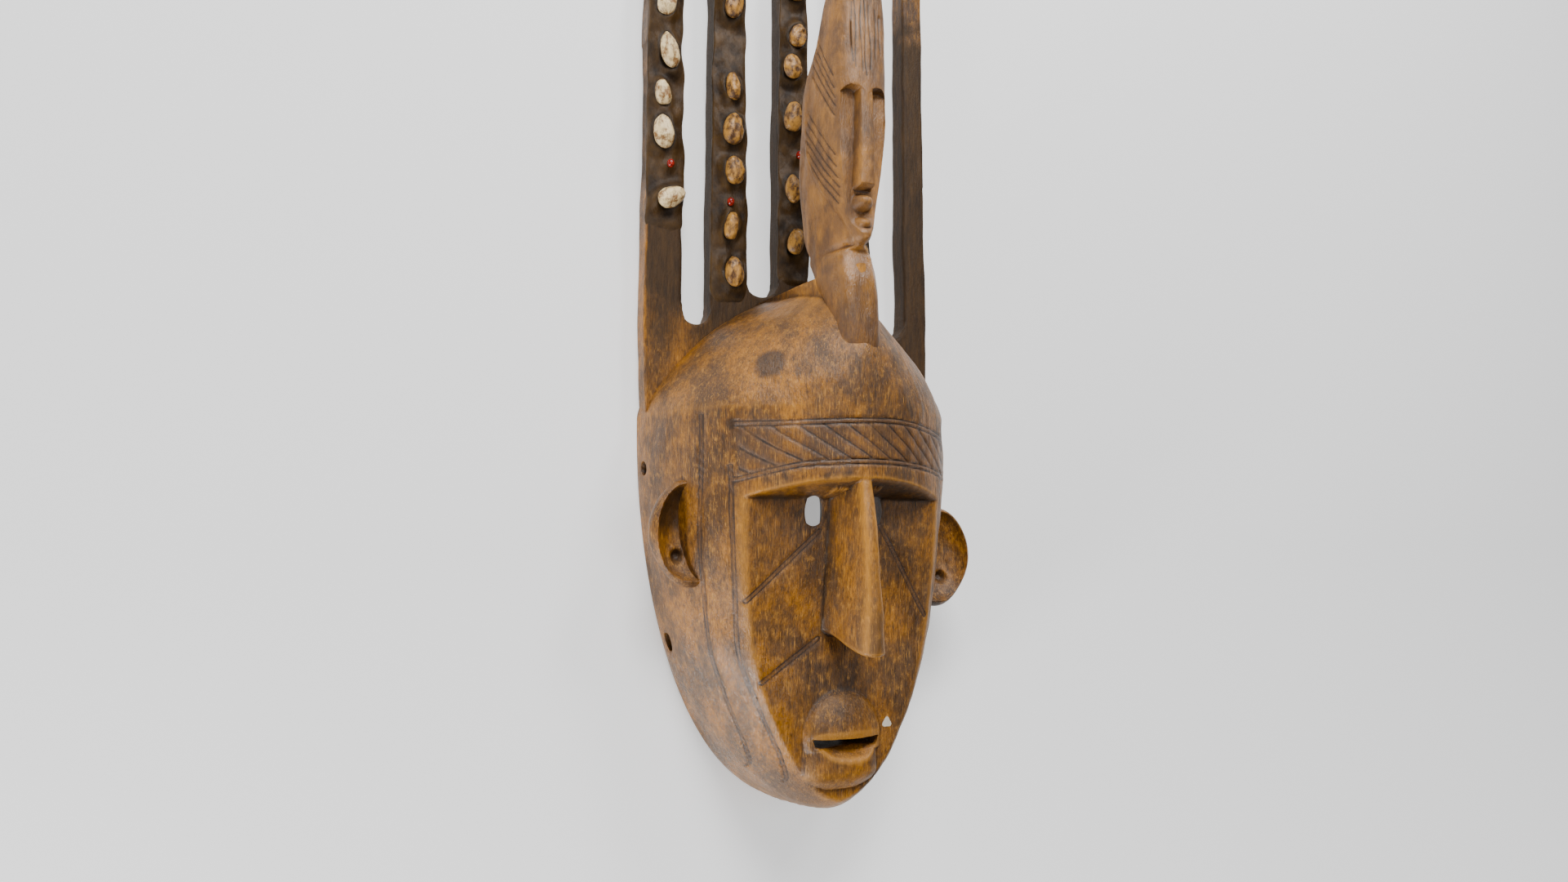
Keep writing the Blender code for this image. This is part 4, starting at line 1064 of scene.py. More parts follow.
def build_ear(name, side, centre_y, material):
    """An ear: a round lens whose front is scooped out, open towards the cheek, with an ear hole.

    The lens is half an ellipse in section, on both sides of its middle plane. The scoop is a quarter of
    an ellipsoid taken out of it, and the hole a bell-shaped dent with a low ring around it.
    """
    rings, spokes = EAR_RINGS, EAR_SPOKES
    part = np.linspace(0.0, 1.0, rings)[1:]
    part = np.sin(part * math.pi / 2)[:, None]
    angle = np.linspace(0.0, 2.0 * math.pi, spokes, endpoint=False)
    wave = 1.0 + 0.020 * np.sin(3.0 * angle + 0.6) + 0.012 * np.sin(5.0 * angle + 2.0)
    x_share = part * np.cos(angle) * wave
    y_share = part * np.sin(angle) * wave
    x = side * (EAR_X + EAR_REACH * x_share)
    y = centre_y + EAR_HALF_HEIGHT * y_share
    swell = EAR_HALF_THICK * np.sqrt(np.clip(1.0 - part**2, 0.0, 1.0)) * np.ones(spokes)
    top = EAR_Z + swell
    across = np.maximum(np.abs(x) - BOWL_X, 0.0) / BOWL_REACH
    along = (y - centre_y) / BOWL_HALF_HEIGHT
    inside = across**2 + along**2
    scoop = BOWL_DEPTH * np.sqrt(np.clip(1.0 - inside, 0.0, 1.0))
    floor = BOWL_RIM_Z - scoop + 30.0 * np.clip(inside - 1.0, 0.0, 4.0)
    hole = np.hypot(np.abs(x) - EAR_HOLE_X, y - (centre_y - EAR_HOLE_BELOW))
    floor = floor - 6.0 * np.exp(-((hole / 2.6) ** 2)) + 0.4 * np.exp(-(((hole - 4.6) / 1.4) ** 2))
    top = soft_min(top, floor, 1.2)
    top = np.maximum(top, EAR_Z - 0.72 * swell)
    upper = np.stack((x, y, top), axis=-1)
    lower = np.stack((x, y, EAR_Z - swell), axis=-1)
    for surface, seed in ((upper, 31), (lower, 32)):
        fade = smooth_step(1.0, 0.9, part)
        surface[..., 2] += (0.22 * ripple(surface, 12.0, seed) + 0.1 * ripple(surface, 5.0, seed + 5)) * fade
    # Painted shade in the ear hole
    dark = smooth_step(5.2, 1.2, hole)
    count = (rings - 1) * spokes
    closed, upper_quads = ring_faces(rings - 1, spokes)
    lower_quads = upper_quads[:, ::-1] + count
    rim = strip_faces(closed[-1], closed[-1] + count)
    centre = np.array(((side * EAR_X, centre_y, upper[0, :, 2].mean()),
                       (side * EAR_X, centre_y, EAR_Z - EAR_HALF_THICK)))
    points = np.concatenate((upper.reshape(-1, 3), lower.reshape(-1, 3), centre))
    first, second = closed[0][:-1], closed[0][1:]
    hub = np.full(spokes, 2 * count)
    upper_fan = np.stack((second, first, hub), axis=-1)
    lower_fan = np.stack((first + count, second + count, hub + 1), axis=-1)
    quads = np.concatenate((upper_quads, lower_quads, rim))
    triangles = np.concatenate((upper_fan, lower_fan))
    if side > 0:
        quads = quads[:, ::-1]
        triangles = triangles[:, ::-1]
    # Painted shadow, with some dirt, in the upper bowl of the left ear under its rim
    deep = smooth_step(1.0, 0.6, inside) * smooth_step(-6.0, 6.0, y - centre_y) * (side < 0)
    sunk = np.concatenate((0.8 * deep.ravel(), np.zeros(count + 2)))
    stain_and_shade = np.concatenate((dark.ravel(), np.zeros(count + 2)))
    return make_piece(name, points, quads, material, {"sunk": sunk, "stain_and_shade": stain_and_shade}, triangles=triangles)


# Crusts: horn, first and last y; shells: horn, y, how far off its middle, half length, half width, turn in
# degrees; seeds: horn, y, how far off its middle
CRUSTS = ((0, 64.0, 254.0), (1, 26.0, 256.0), (2, 40.0, 257.0), (3, 38.0, 254.0))
COWRIES = (
    (0, 84.9, 2.7, 8.8, 6.0, -62.0),
    (0, 123.2, -2.6, 10.0, 6.7, 6.0),
    (0, 146.7, -3.4, 7.2, 4.8, 10.0),
    (0, 173.4, 0.6, 10.8, 5.8, 12.0),
    (0, 203.0, -1.0, 8.8, 6.0, -14.0),
    (0, 233.0, 0.8, 9.0, 6.0, 8.0),
    (1, 44.3, 1.4, 9.2, 6.0, 4.0),
    (1, 71.9, -0.7, 8.2, 4.4, -6.0),
    (1, 106.2, 1.2, 8.6, 6.4, 6.0),
    (1, 131.7, 0.4, 9.6, 6.6, -4.0),
    (1, 158.1, 0.0, 8.4, 4.6, 5.0),
    (1, 210.0, 0.6, 9.0, 6.0, -10.0),
    (1, 237.0, -0.4, 8.6, 5.8, 8.0),
    (2, 67.2, -1.0, 8.2, 5.4, -10.0),
    (2, 100.0, -3.0, 9.0, 5.6, 4.0),
    (2, 145.7, -2.8, 9.2, 5.8, -6.0),
    (2, 177.9, -3.2, 7.8, 6.4, 12.0),
    (2, 198.2, 0.4, 7.4, 6.0, -14.0),
    (2, 230.0, -0.6, 8.8, 5.8, 3.0),
    (3, 65.0, 0.4, 8.6, 5.8, 6.0),
    (3, 95.0, -1.4, 9.0, 6.0, -8.0),
    (3, 126.0, 0.6, 8.4, 5.6, 4.0),
    (3, 164.0, -0.6, 9.0, 6.0, -5.0),
    (3, 196.0, 0.5, 8.6, 5.8, 9.0),
    (3, 229.0, -0.3, 8.8, 5.8, -4.0),
)
SEEDS = ((0, 104.8, 2.0), (1, 86.6, -1.0), (2, 122.0, 1.6), (3, 145.0, -1.2))
FADE_LENGTHS = (16.0, 4.0, 5.0, 5.0)
COWRIE_MIDDLE_Z = COMB_THICK + 5.4
SEED_MIDDLE_Z = COMB_THICK + 5.2
RESIN_ROWS = 310
RESIN_COLUMNS = 52


def shell_offset(entry, x, y):
    """How far a place lies from the middle of a shell, in the shell's own half sizes."""
    number, shell_y, sideways, half_length, half_width, turn = entry
    angle = math.radians(turn)
    dx = x - horn_middle(number) - sideways
    dy = y - shell_y
    across = (dx * math.cos(angle) + dy * math.sin(angle)) / half_width
    along = (-dx * math.sin(angle) + dy * math.cos(angle)) / half_length
    return across, along


def build_resin(number, material):
    """Resin pressed along a horn: a lumpy crust, banked up around each shell and sunk between lumps."""
    horn, low, high = CRUSTS[number]
    look = bpy.context.scene.mask_resin
    middle = horn_middle(horn)
    y_rows = np.linspace(low - 1.0, high + (HORN_TIP_Y - HORN_SHORT[horn] - high) * 0.75, RESIN_ROWS)
    share = np.linspace(-1.0, 1.0, RESIN_COLUMNS + 1)
    # The crust narrows in a round at both of its ends
    span = (y_rows - y_rows[0]) / (y_rows[-1] - y_rows[0])
    close = rounded(np.clip(1.0 - np.minimum(span, 1.0 - span) / 0.050, 0.0, 1.0), 2)
    half = horn_half(horn, y_rows) + 0.55
    line = np.stack((np.full(RESIN_ROWS, middle), y_rows, np.full(RESIN_ROWS, 20.0)), axis=-1)
    left = half * (0.30 + 0.70 * close) + 0.45 * ripple(line + (-9.0, 0.0, 0.0), 26.0, 41 + number)
    right = half * (0.30 + 0.70 * close) + 0.75 * ripple(line + (9.0, 0.0, 0.0), 22.0, 51 + number)
    x = middle + np.where(share < 0.0, left[:, None], right[:, None]) * share
    y = np.broadcast_to(y_rows[:, None], x.shape)
    flat = np.stack((x, y, np.full(x.shape, 18.0)), axis=-1)
    crown = np.clip(1.0 - np.abs(share) ** 3.6, 0.0, 1.0) ** 0.5
    height = 2.0 + 1.2 * ripple(flat, 30.0, 61 + number) + 0.35 * share
    dark = np.zeros(x.shape)
    for entry in COWRIES:
        if entry[0] != number:
            continue
        across, along = shell_offset(entry, x, y)
        far = np.hypot(across, along)
        bank = np.exp(-(((far - 0.95) / 0.55) ** 2))
        uneven = 0.9 + 0.45 * ripple(flat, 14.0, 71 + number)
        height = height + look.bank / MM * bank * uneven
        # A dark ring where each shell sits in the resin, as painted shade
        dark = np.maximum(dark, np.exp(-(((far - 1.02) / 0.16) ** 2)))
    for entry in SEEDS:
        if entry[0] != number:
            continue
        far = np.hypot(x - middle - entry[2], y - entry[1]) / (look.seed_radius / MM)
        height = height + 1.5 * np.exp(-((far / 1.7) ** 2))
    height = height + 0.45 * ripple(flat, 11.0, 81 + number) + 0.10 * ripple(flat, 4.5, 91 + number)
    fade = smooth_step(0.0, FADE_LENGTHS[number], y - y_rows[0]) * 0.9 + 0.1
    z = COMB_THICK - 0.6 + np.clip(height, 0.8, 7.0) * crown * fade * (0.25 + 0.75 * close[:, None])
    top = np.stack((x, y, z), axis=-1)
    bottom = top.copy()
    bottom[..., 2] = COMB_THICK - 1.6
    loop = border_loop(np.arange(x.size).reshape(x.shape))
    fields = {"sunk": (cavity(top, 6), 0.0), "stain_and_shade": (dark, 0.0)}
    keep = np.ones((RESIN_ROWS - 1, RESIN_COLUMNS), dtype=bool)
    return slab("resin_crust_%d" % (number + 1), top, bottom, keep, [(loop, 4)], material, fields)


def ball_mesh(name, shape_points, spokes, rings, material):
    """A closed ball-like piece from a function of two angles, with fans at its two poles."""
    polar = np.linspace(0.0, math.pi, rings + 1)[1:-1][:, None]
    around = np.linspace(0.0, 2.0 * math.pi, spokes, endpoint=False)[None, :]
    points = shape_points(polar, around)
    poles = np.stack((shape_points(np.zeros((1, 1)), np.zeros((1, 1)))[0, 0],
                      shape_points(np.full((1, 1), math.pi), np.zeros((1, 1)))[0, 0]))
    count = (rings - 1) * spokes
    closed, quads = ring_faces(rings - 1, spokes)
    first, second = closed[0][:-1], closed[0][1:]
    top = np.stack((first, second, np.full(spokes, count)), axis=-1)
    first, second = closed[-1][:-1], closed[-1][1:]
    low = np.stack((second, first, np.full(spokes, count + 1)), axis=-1)
    all_points = np.concatenate((points.reshape(-1, 3), poles))
    return make_piece(name, all_points, quads[:, ::-1], material, triangles=np.concatenate((top, low)))


def build_shell(index, entry, material):
    """A cowrie: an egg pointed at its ends, flat below, with a low saddle hump and worn dents."""
    number, shell_y, sideways, half_length, half_width, turn = entry
    middle = horn_middle(number)
    angle = math.radians(turn)
    blunt = 0.80 + 0.25 * math.sin(index * 2.4)
    high = bpy.context.scene.mask_resin.shell_height / MM

    def shape_points(polar, around):
        along = np.cos(polar) * np.ones_like(around)
        girth = np.sin(polar) ** blunt
        across = girth * np.cos(around) * (1.0 - 0.16 * along)
        lift = girth * np.sin(around) * (1.0 + 0.10 * np.sin(2.0 * along + index))
        lift = np.where(lift < 0.0, lift * 0.75, lift)
        local = np.stack((across * half_width, along * half_length, lift * high), axis=-1)
        point = 0.30 * math.sin(index * 1.7) * np.clip(along, 0.0, 1.0) ** 3
        point = point + 0.10 * np.sin(3.0 * around + index)
        local[..., 0] = local[..., 0] * (1.0 - np.abs(point))
        grooves = 0.20 * np.cos(around * 5.0 + 1.3 * along + index) * girth
        worn = 0.38 * ripple(local, 5.0, 100 + index) + 0.16 * ripple(local, 2.2, 140 + index) + grooves
        local[..., 2] = local[..., 2] + worn * (local[..., 2] > 0.0)
        x = middle + sideways + local[..., 0] * math.cos(angle) - local[..., 1] * math.sin(angle)
        y = shell_y + local[..., 0] * math.sin(angle) + local[..., 1] * math.cos(angle)
        return np.stack((x, y, COWRIE_MIDDLE_Z + local[..., 2]), axis=-1)

    return ball_mesh("shell_%02d" % (index + 1), shape_points, 36, 26, material)


def build_seed(index, entry, material):
    """A round hard seed, a little longer than wide, with a faint dimple."""
    number, seed_y, sideways = entry
    middle = horn_middle(number)
    full = bpy.context.scene.mask_resin.seed_radius / MM

    def shape_points(polar, around):
        radius = full * (1.0 - 0.06 * np.exp(-((polar / 0.45) ** 2)))
        x = middle + sideways + radius * np.sin(polar) * np.cos(around)
        y = seed_y + radius * 1.15 * np.cos(polar) * np.ones_like(around)
        z = SEED_MIDDLE_Z + radius * np.sin(polar) * np.sin(around)
        return np.stack((x, y, z), axis=-1)

    return ball_mesh("red_seed_%d" % (index + 1), shape_points, 24, 16, material)


def set_socket(tree, socket, value):
    """Puts a value on a socket, or links the socket that feeds it; None leaves it as it is."""
    if isinstance(value, bpy.types.NodeSocket):
        tree.links.new(value, socket)
    elif value is not None:
        socket.default_value = value


def add_node(tree, kind, *values, output=None, **settings):
    """Adds a shader node, gives its live inputs their values in order, and returns one of its outputs."""
    node = tree.nodes.new("ShaderNode" + kind)
    for key, value in settings.items():
        setattr(node, key, value)
    live = [socket for socket in node.inputs if socket.enabled]
    for socket, value in zip(live, values):
        set_socket(tree, socket, value)
    return next(socket for socket in node.outputs if socket.enabled and output in (None, socket.name))


def new_material(name):
    """A node material and the function that adds nodes to it."""
    material = bpy.data.materials.new(name)
    material.use_nodes = True
    return material, partial(add_node, material.node_tree)


def feed_shader(material, **inputs):
    """Gives the shader's own sockets their values; a word's underscore stands for a space in its name."""
    tree = material.node_tree
    for key, value in inputs.items():
        set_socket(tree, tree.nodes["Principled BSDF"].inputs[key.replace("_", " ")], value)
    return material


def places(add):
    """x, y and z of a place on the mask, in metres."""
    return [add("SeparateXYZ", add("TexCoord", output="Object"), output=axis) for axis in "XYZ"]


def pattern(add, size, detail=4.0, roughness=0.55):
    """Noise of 0 to 1 whose cells have a size in millimetres in x, y and z."""
    cells_per_metre = [1000.0 / length for length in size]
    place = add("Mapping", add("TexCoord", output="Object"), None, None, cells_per_metre)
    return add("TexNoise", place, 1.0, detail, roughness)


def tint(add, colour, shade, value, low, high, first=0.0, last=1.0):
    """A shade mixed into a colour, from the first share at the value low to the last share at high."""
    return add("Mix", add("MapRange", value, low, high, first, last), colour, shade, data_type="RGBA")


def region(add, *steps):
    """1 where each value has passed its step from low to high, 0 where one of them has not."""
    share = 1.0
    for value, low, high in steps:
        share = add("Math", share, add("MapRange", value, low, high), operation="MULTIPLY")
    return share


def wood_colour(add):
    """Colour of the oiled wood: golden to brown patches, grey-brown wear, dark and pale fibres.

    Returns it with the fibres and the wear, which shape the bump and the gloss too. All patterns are
    longer in y, because the grain runs from the chin to the horns.
    """
    look = bpy.context.scene.mask_wood
    patches = pattern(add, (26.3, 45.5, 26.3), 6.0, 0.6)
    worn = pattern(add, (16.1, 29.4, 16.1), 8.0, 0.68)
    mottle = pattern(add, (3.03, 4.76, 3.03), 5.0, 0.75)
    # Real fibres are finer: these are drawn as coarse as they need to show
    fibres = pattern(add, (0.769, 7.14, 0.769), 3.0, 0.7)
    pale_fibres = pattern(add, (0.588, 8.33, 0.667), 2.0, 0.6)
    colour = tint(add, look.brown, look.golden, patches, 0.40, 0.60)
    colour = tint(add, colour, look.worn, worn, 0.47, 0.60, 0.0, 0.72)
    colour = tint(add, colour, linear("#33200C"), mottle, 0.50, 0.36, 0.0, 0.55)
    colour = tint(add, colour, linear("#C48A34"), mottle, 0.54, 0.68, 0.0, 0.45)
    colour = tint(add, colour, linear("#241506"), fibres, 0.34, 0.52, 0.66, 0.0)
    colour = tint(add, colour, linear("#C68C38"), pale_fibres, 0.58, 0.72, 0.0, 0.55)
    return colour, fibres, worn


def oiled_wood(name):
    """Hand-carved wood, oiled and darkened by smoke, and its colour, to be worked on.

    The eye gets golden brown wood, brighter on crests and on the dome, dark and matt in every recess
    with grime and painted shade, and rubbed shiny where hands held it: at the left jaw and on the neck
    of the little head.
    """
    material, add = new_material(name)
    colour, fibres, worn = wood_colour(add)
    x, y, z = places(add)
    sunk = add("Attribute", attribute_name="sunk", output="Fac")
    stain_and_shade = add("Attribute", attribute_name="stain_and_shade", output="Fac")
    golden = add("MapRange", worn, 0.60, 0.42, 0.12, 0.62)
    golden = add("Math", region(add, (y, 0.0, 0.03), (z, 0.045, 0.060)), golden, operation="MULTIPLY")
    colour = add("Mix", golden, colour, linear("#CC8A32"), data_type="RGBA")
    # Grime and painted shade in every hollow, where sunk is above 0
    colour = tint(add, colour, bpy.context.scene.mask_wood.grime_and_shade, sunk, 0.03, 0.8, 0.0, 0.85)
    colour = tint(add, colour, linear("#BE8126"), sunk, -0.03, -0.30, 0.0, 0.45)
    # Dark stains and ticks, and painted shade on the inside, on the walls of holes and in the ear holes
    colour = tint(add, colour, linear("#20140A"), stain_and_shade, 0.0, 1.0, 0.0, 0.8)
    colour = tint(add, colour, linear("#CFC6B4"), stain_and_shade, -0.5, -0.8)
    jaw = region(add, (y, -0.150, -0.185), (x, -0.02, -0.04))
    neck = region(add, (y, 0.0, 0.034), (y, 0.056, 0.036), (z, 0.085, 0.095))
    rubbed = add("MapRange", pattern(add, (2.38, 3.85, 2.38), 4.0, 0.7), 0.42, 0.58, 0.10, 0.30)
    polish = add("Math", add("Math", jaw, neck, operation="MAXIMUM"), rubbed, operation="MULTIPLY")
    roughness = add("MapRange", worn, 0.40, 0.62, 0.38, 0.54)
    roughness = add("Math", roughness, polish, operation="SUBTRACT")
    stipple = pattern(add, (1.11, 2.38, 1.11), 4.0, 0.7)
    rough = add("Math", fibres, 0.8, stipple, operation="MULTIPLY_ADD")
    bump = add("Bump", 0.9, 0.0004, None, rough)
    feed_shader(material, Base_Color=colour, Roughness=roughness, Normal=bump)
    return material, add, colour


def carved_wood(name):
    """Oiled carved wood, as it is."""
    return oiled_wood(name)[0]


def line_cut_wood(name):
    """Oiled carved wood with cut lines: black-brown in the cuts, grey-brown between, less where worn;
    grey-brown painted shade over all of the little head.
    """
    material, add, colour = oiled_wood(name)
    pair = add("Attribute", attribute_name="pair", output="Fac")
    side = add("Math", add("Math", pair, DOUBLE_HALF, operation="SUBTRACT"), operation="ABSOLUTE")
    single = add("Attribute", attribute_name="single", output="Fac")
    single = add("Math", single, operation="ABSOLUTE")
    core = add("MapRange", add("Math", side, single, operation="MINIMUM"), 0.20, 0.62, 0.95, 0.0)
    band = add("MapRange", add("Math", pair, single, operation="MINIMUM"), 1.3, 2.4, 0.70, 0.0)
    wear = add("MapRange", pattern(add, (7.69, 16.7, 7.69), 4.0, 0.6), 0.38, 0.66, 1.0, 0.45)
    # The grey-brown band also lies over all of the little head, whose pair distance is 0, as painted shade
    for part, shade in ((band, linear("#4C3422")), (core, bpy.context.scene.mask_wood.lines)):
        colour = tint(add, colour, shade, add("Math", part, wear, operation="MULTIPLY"), 0.0, 1.0)
    return feed_shader(material, Base_Color=colour)


def coated_wood(name):
    """Wood of the comb: a thin dull coat of dark resin up the horns, bare at its foot and left edge.

    The coat reaches lower at the right and between the first two horns, and is rubbed thin at the
    tip of the fifth horn.
    """
    material, add, colour = oiled_wood(name)
    x, y, _ = places(add)
    uneven = add("Math", pattern(add, (22.2, 22.2, 22.2), 5.0), 0.5, operation="SUBTRACT")
    uneven = add("Math", uneven, 0.09, operation="MULTIPLY")
    height = add("Math", y, uneven, operation="ADD")
    drop = add("MapRange", x, 0.0, 0.06, 0.0, 0.04)
    drop = add("Math", drop, add("MapRange", x, -0.064, -0.050, 0.0, 0.02), operation="ADD")
    coat = add("MapRange", add("Math", height, drop, operation="ADD"), -0.030, 0.034)
    edge = add("Math", uneven, 0.03, x, operation="MULTIPLY_ADD")
    coat = add("Math", coat, add("MapRange", edge, -0.0942, -0.0932), operation="MULTIPLY")
    tip = region(add, (height, 0.216, 0.234), (x, 0.06, 0.07))
    coat = add("Math", coat, add("MapRange", tip, 0.0, 1.0, 1.0, 0.25), operation="MULTIPLY")
    streaks = pattern(add, (2.0, 16.7, 2.0), 5.0, 0.65)
    dark = tint(add, linear("#241607"), bpy.context.scene.mask_resin.coat, streaks, 0.32, 0.72)
    colour = tint(add, colour, dark, coat, 0.0, 1.0, 0.0, 0.975)
    roughness = add("MapRange", coat, 0.0, 1.0, 0.42, 0.66)
    return feed_shader(material, Base_Color=colour, Roughness=roughness, Specular_IOR_Level=0.3)


def dark_resin(name):
    """Dark plant resin: olive-brown and half glossy, paler on its crests, with painted shade in its troughs
    and around each shell, and fine wrinkles.
    """
    material, add = new_material(name)
    look = bpy.context.scene.mask_resin
    lumps = pattern(add, (9.09, 12.5, 9.09), 6.0, 0.6)
    sunk = add("Attribute", attribute_name="sunk", output="Fac")
    shell_rim_shade = add("Attribute", attribute_name="stain_and_shade", output="Fac")
    colour = tint(add, look.dark, look.light, lumps, 0.36, 0.66)
    colour = tint(add, colour, linear("#5E431A"), sunk, 0.02, -0.25, 0.0, 0.5)
    # Painted shade in the troughs of the crust and in the ring around each shell
    colour = tint(add, colour, linear("#150E06"), sunk, 0.02, 0.35, 0.0, 0.8)
    colour = tint(add, colour, linear("#140D05"), shell_rim_shade, 0.0, 1.0, 0.0, 0.7)
    roughness = add("MapRange", lumps, 0.3, 0.7, 0.60, 0.42)
    wrinkles = add("Bump", 0.8, 0.0006, None, pattern(add, (1.43, 3.85, 1.43), 5.0, 0.7))
    return feed_shader(material, Base_Color=colour, Roughness=roughness, Specular_IOR_Level=0.25,
                       Normal=wrinkles)


def worn_shell(name, pale, brown):
    """Worn cowrie: one colour speckled with another, half glossy, with painted shade at its foot."""
    material, add = new_material(name)
    speckles = pattern(add, (3.33, 5.26, 3.33), 6.0, 0.7)
    colour = tint(add, pale, brown, speckles, 0.44, 0.60)
    # Painted shade: darker towards the foot, where the shell sits in the resin
    colour = tint(add, colour, linear("#2E1E0E"), places(add)[2], 0.0214, 0.0190, 0.0, 0.8)
    roughness = add("MapRange", speckles, 0.4, 0.6, 0.30, 0.52)
    pits = add("Bump", 0.7, 0.0005, None, pattern(add, (1.11, 2.0, 1.11), 4.0, 0.7))
    return feed_shader(material, Base_Color=colour, Roughness=roughness, Normal=pits)


def red_seed(name):
    """Hard red seed, glossy, with darker mottling."""
    material, add = new_material(name)
    spots = pattern(add, (1.67, 1.67, 1.67), 3.0)
    colour = tint(add, bpy.context.scene.mask_resin.seed, linear("#6A120C"), spots, 0.4, 0.6)
    return feed_shader(material, Base_Color=colour, Roughness=0.2)


def pale_paper(name):
    """Pale backdrop paper, barely uneven, that glows a little more towards the viewer to stay even."""
    material, add = new_material(name)
    grain = pattern(add, (1.11, 1.11, 1.11), 2.0)
    colour = add("Mix", grain, linear("#DCDCDC"), bpy.context.scene.mask_stage.floor_colour, data_type="RGBA")
    glow = add("MapRange", places(add)[1], -0.12, -0.40, 0.6, 0.95)
    return feed_shader(material, Base_Color=colour, Roughness=0.8, Emission_Color=colour,
                       Emission_Strength=glow)


def get_material(name, build):
    """A material built once and used again by name."""
    return bpy.data.materials.get(name) or build(name)


def declare(piece, slot, *nodes):
    """Joins a piece to the frame: it rides on the mask and replaces solids."""
    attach(piece, "root")
    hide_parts(*nodes)


class MASK_OT_face(bpy.types.Operator):
    """Build the carved face in place of its solid"""

    bl_idname = "mask.face"
    bl_label = "Face"

    def execute(self, context):
        for piece in build_face(get_material("Oiled carved wood with cut lines", line_cut_wood)):
            declare(piece, "wood", "carving")
        return {"FINISHED"}


class MASK_OT_comb(bpy.types.Operator):
    """Build the comb and its horns"""

    bl_idname = "mask.comb"
    bl_label = "Comb"

    def execute(self, context):
        declare(build_comb(get_material("Wood with a dark coat", coated_wood)), "wood", "carving")
        return {"FINISHED"}


class MASK_OT_little_head(bpy.types.Operator):
    """Build the little head on its neck"""

    bl_idname = "mask.little_head"
    bl_label = "Little head"

    def execute(self, context):
        piece = build_little_head(get_material("Oiled carved wood with cut lines", line_cut_wood))
        declare(piece, "wood", "carving")
        return {"FINISHED"}


class MASK_OT_ears(bpy.types.Operator):
    """Build both ears"""

    bl_idname = "mask.ears"
    bl_label = "Ears"

    def execute(self, context):
        wood = get_material("Oiled carved wood", carved_wood)
        for name, side, centre_y in (("left_ear", -1, EAR_Y_LEFT), ("right_ear", 1, EAR_Y_RIGHT)):
            declare(build_ear(name, side, centre_y, wood), "wood", "carving")
        return {"FINISHED"}


class MASK_OT_resin(bpy.types.Operator):
    """Build the resin on four horns"""

    bl_idname = "mask.resin"
    bl_label = "Resin"

    def execute(self, context):
        for number in range(len(CRUSTS)):
            piece = build_resin(number, get_material("Dark plant resin", dark_resin))
            declare(piece, "resin", "resin_%d" % (number + 1))
        return {"FINISHED"}


class MASK_OT_shells(bpy.types.Operator):
    """Build the cowrie shells, cream on the first horn and golden on the others"""

    bl_idname = "mask.shells"
    bl_label = "Shells"

    def execute(self, context):
        look = context.scene.mask_resin
        cream = worn_shell("Cream cowrie shell", look.cream, linear("#80592C"))
        golden = worn_shell("Golden cowrie shell", look.golden, linear("#4A2E12"))
        for index, entry in enumerate(COWRIES):
            piece = build_shell(index, entry, cream if entry[0] == 0 else golden)
            declare(piece, "shell", "cowrie_%02d" % (index + 1))
        return {"FINISHED"}


class MASK_OT_seeds(bpy.types.Operator):
    """Build the red seeds"""

    bl_idname = "mask.seeds"
    bl_label = "Seeds"

    def execute(self, context):
        for index, entry in enumerate(SEEDS):
            piece = build_seed(index, entry, get_material("Glossy red seed", red_seed))
            declare(piece, "seed", "seed_%d" % (index + 1))
        return {"FINISHED"}


# Camera: where it looks and how it is turned, fitted to the photo, in metres
CAMERA_FORWARD = Vector((0.4052, 0.0872, -0.9101))
CAMERA_RIGHT = Vector((0.9135, 0.0, 0.4067))
CAMERA_TARGET = Vector((0.0, -0.054, 0.0))
CAMERA_DISTANCE = 0.661
CAMERA_LENS = 24.45

# Lights: name, place, the point it looks at, width, all in metres, and power in watts
LIGHTS = (
    ("key", (-0.30, 1.15, 1.20), (0.0, 0.0, 0.05), 0.6, 34.0),
    ("side", (-1.00, -0.85, 0.24), (-0.03, -0.15, 0.05), 0.24, 16.0),
    ("far", (0.55, 0.95, 0.85), (0.0, 0.03, 0.08), 0.3, 8.0),
    ("top", (0.1, 0.0, 1.7), (0.0, 0.0, 0.05), 0.6, 7.0),
)
WORLD_COLOUR = (0.92, 0.95, 1.0, 1.0)


def add_object(name, data):
    """A new object in the scene."""
    thing = bpy.data.objects.new(name, data)
    bpy.context.scene.collection.objects.link(thing)
    return thing


def add_floor(size):
    """The pale floor: one square."""
    half = size / 2
    mesh = bpy.data.meshes.new("floor")
    corners = ((-half, -half, 0.0), (half, -half, 0.0), (half, half, 0.0), (-half, half, 0.0))
    mesh.from_pydata(corners, [], [(0, 1, 2, 3)])
    mesh.materials.append(get_material("Pale backdrop paper", pale_paper))
    return add_object("floor", mesh)


def add_light(name, place, target, size, power):
    """A soft square light that looks at a point."""
    data = bpy.data.lights.new(name, "AREA")
    data.shape = "SQUARE"
    data.size = size
    data.energy = power
    light = add_object(name, data)
    light.location = place
    light.rotation_euler = (Vector(target) - Vector(place)).to_track_quat("-Z", "Y").to_euler()
    return light


def add_camera():
    """The camera at the photo's viewing angle: 24 degrees from the front and 5 from below."""
    data = bpy.data.cameras.new("camera")
    data.sensor_width = 36.0
    data.lens = CAMERA_LENS
    camera = add_object("camera", data)
    up = CAMERA_RIGHT.cross(CAMERA_FORWARD)
    turn = Matrix((CAMERA_RIGHT, up, -CAMERA_FORWARD)).transposed()
    place = CAMERA_TARGET - CAMERA_FORWARD * CAMERA_DISTANCE
    camera.matrix_world = Matrix.Translation(place) @ turn.to_4x4()
    return camera


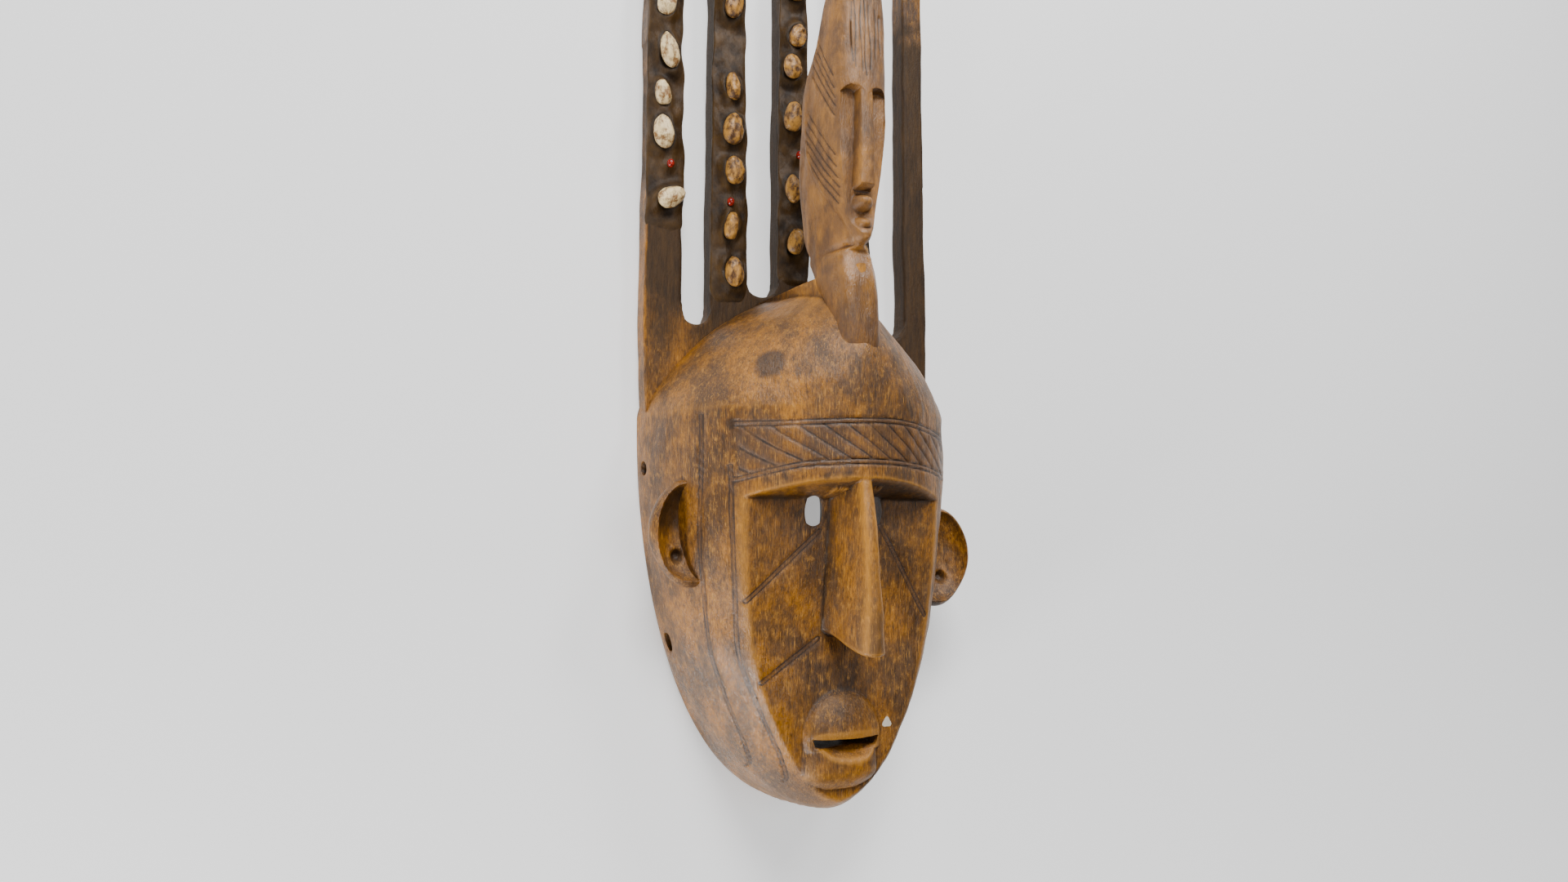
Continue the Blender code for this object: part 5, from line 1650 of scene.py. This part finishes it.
class MASK_OT_stage(bpy.types.Operator):
    """Build the floor, the lights and the camera"""

    bl_idname = "mask.stage"
    bl_label = "Stage"

    def execute(self, context):
        settings = context.scene.mask_stage
        add_floor(settings.floor_size)
        for name, place, target, size, power in LIGHTS:
            add_light(name, place, target, size, power * settings.light)
        world = bpy.data.worlds.new("studio")
        world.use_nodes = True
        background = world.node_tree.nodes["Background"]
        background.inputs["Color"].default_value = WORLD_COLOUR
        background.inputs["Strength"].default_value = settings.sky
        context.scene.world = world
        context.scene.camera = add_camera()
        return {"FINISHED"}


class MASK_PT_panel(bpy.types.Panel):
    """Settings and buttons for all parts of the mask"""

    bl_idname = "MASK_PT_panel"
    bl_label = "Ntomo mask"
    bl_space_type = "VIEW_3D"
    bl_region_type = "UI"
    bl_category = "Mask"

    def draw(self, context):
        for name, group in SETTINGS.items():
            for key in group.__annotations__:
                self.layout.prop(getattr(context.scene, name), key)
        for operator in OPERATORS:
            self.layout.operator(operator.bl_idname)


SETTINGS = {"mask_wood": WoodSettings, "mask_resin": ResinSettings, "mask_stage": StageSettings}
OPERATORS = (
    MASK_OT_face,
    MASK_OT_comb,
    MASK_OT_little_head,
    MASK_OT_ears,
    MASK_OT_resin,
    MASK_OT_shells,
    MASK_OT_seeds,
    MASK_OT_stage,
)


def register():
    """Adds the classes and the settings to Blender."""
    for item in (*SETTINGS.values(), *OPERATORS, MASK_PT_panel):
        bpy.utils.register_class(item)
    for name, group in SETTINGS.items():
        setattr(bpy.types.Scene, name, PointerProperty(type=group))


def unregister():
    """Takes the classes and the settings out again."""
    for name in SETTINGS:
        delattr(bpy.types.Scene, name)
    for item in (MASK_PT_panel, *OPERATORS, *SETTINGS.values()):
        bpy.utils.unregister_class(item)


def main():
    """Builds everything in order."""
    register()
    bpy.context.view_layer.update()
    bpy.ops.mask.face()
    bpy.ops.mask.comb()
    bpy.ops.mask.little_head()
    bpy.ops.mask.ears()
    bpy.ops.mask.resin()
    bpy.ops.mask.shells()
    bpy.ops.mask.seeds()
    bpy.ops.mask.stage()


if __name__ == "__main__":
    main()
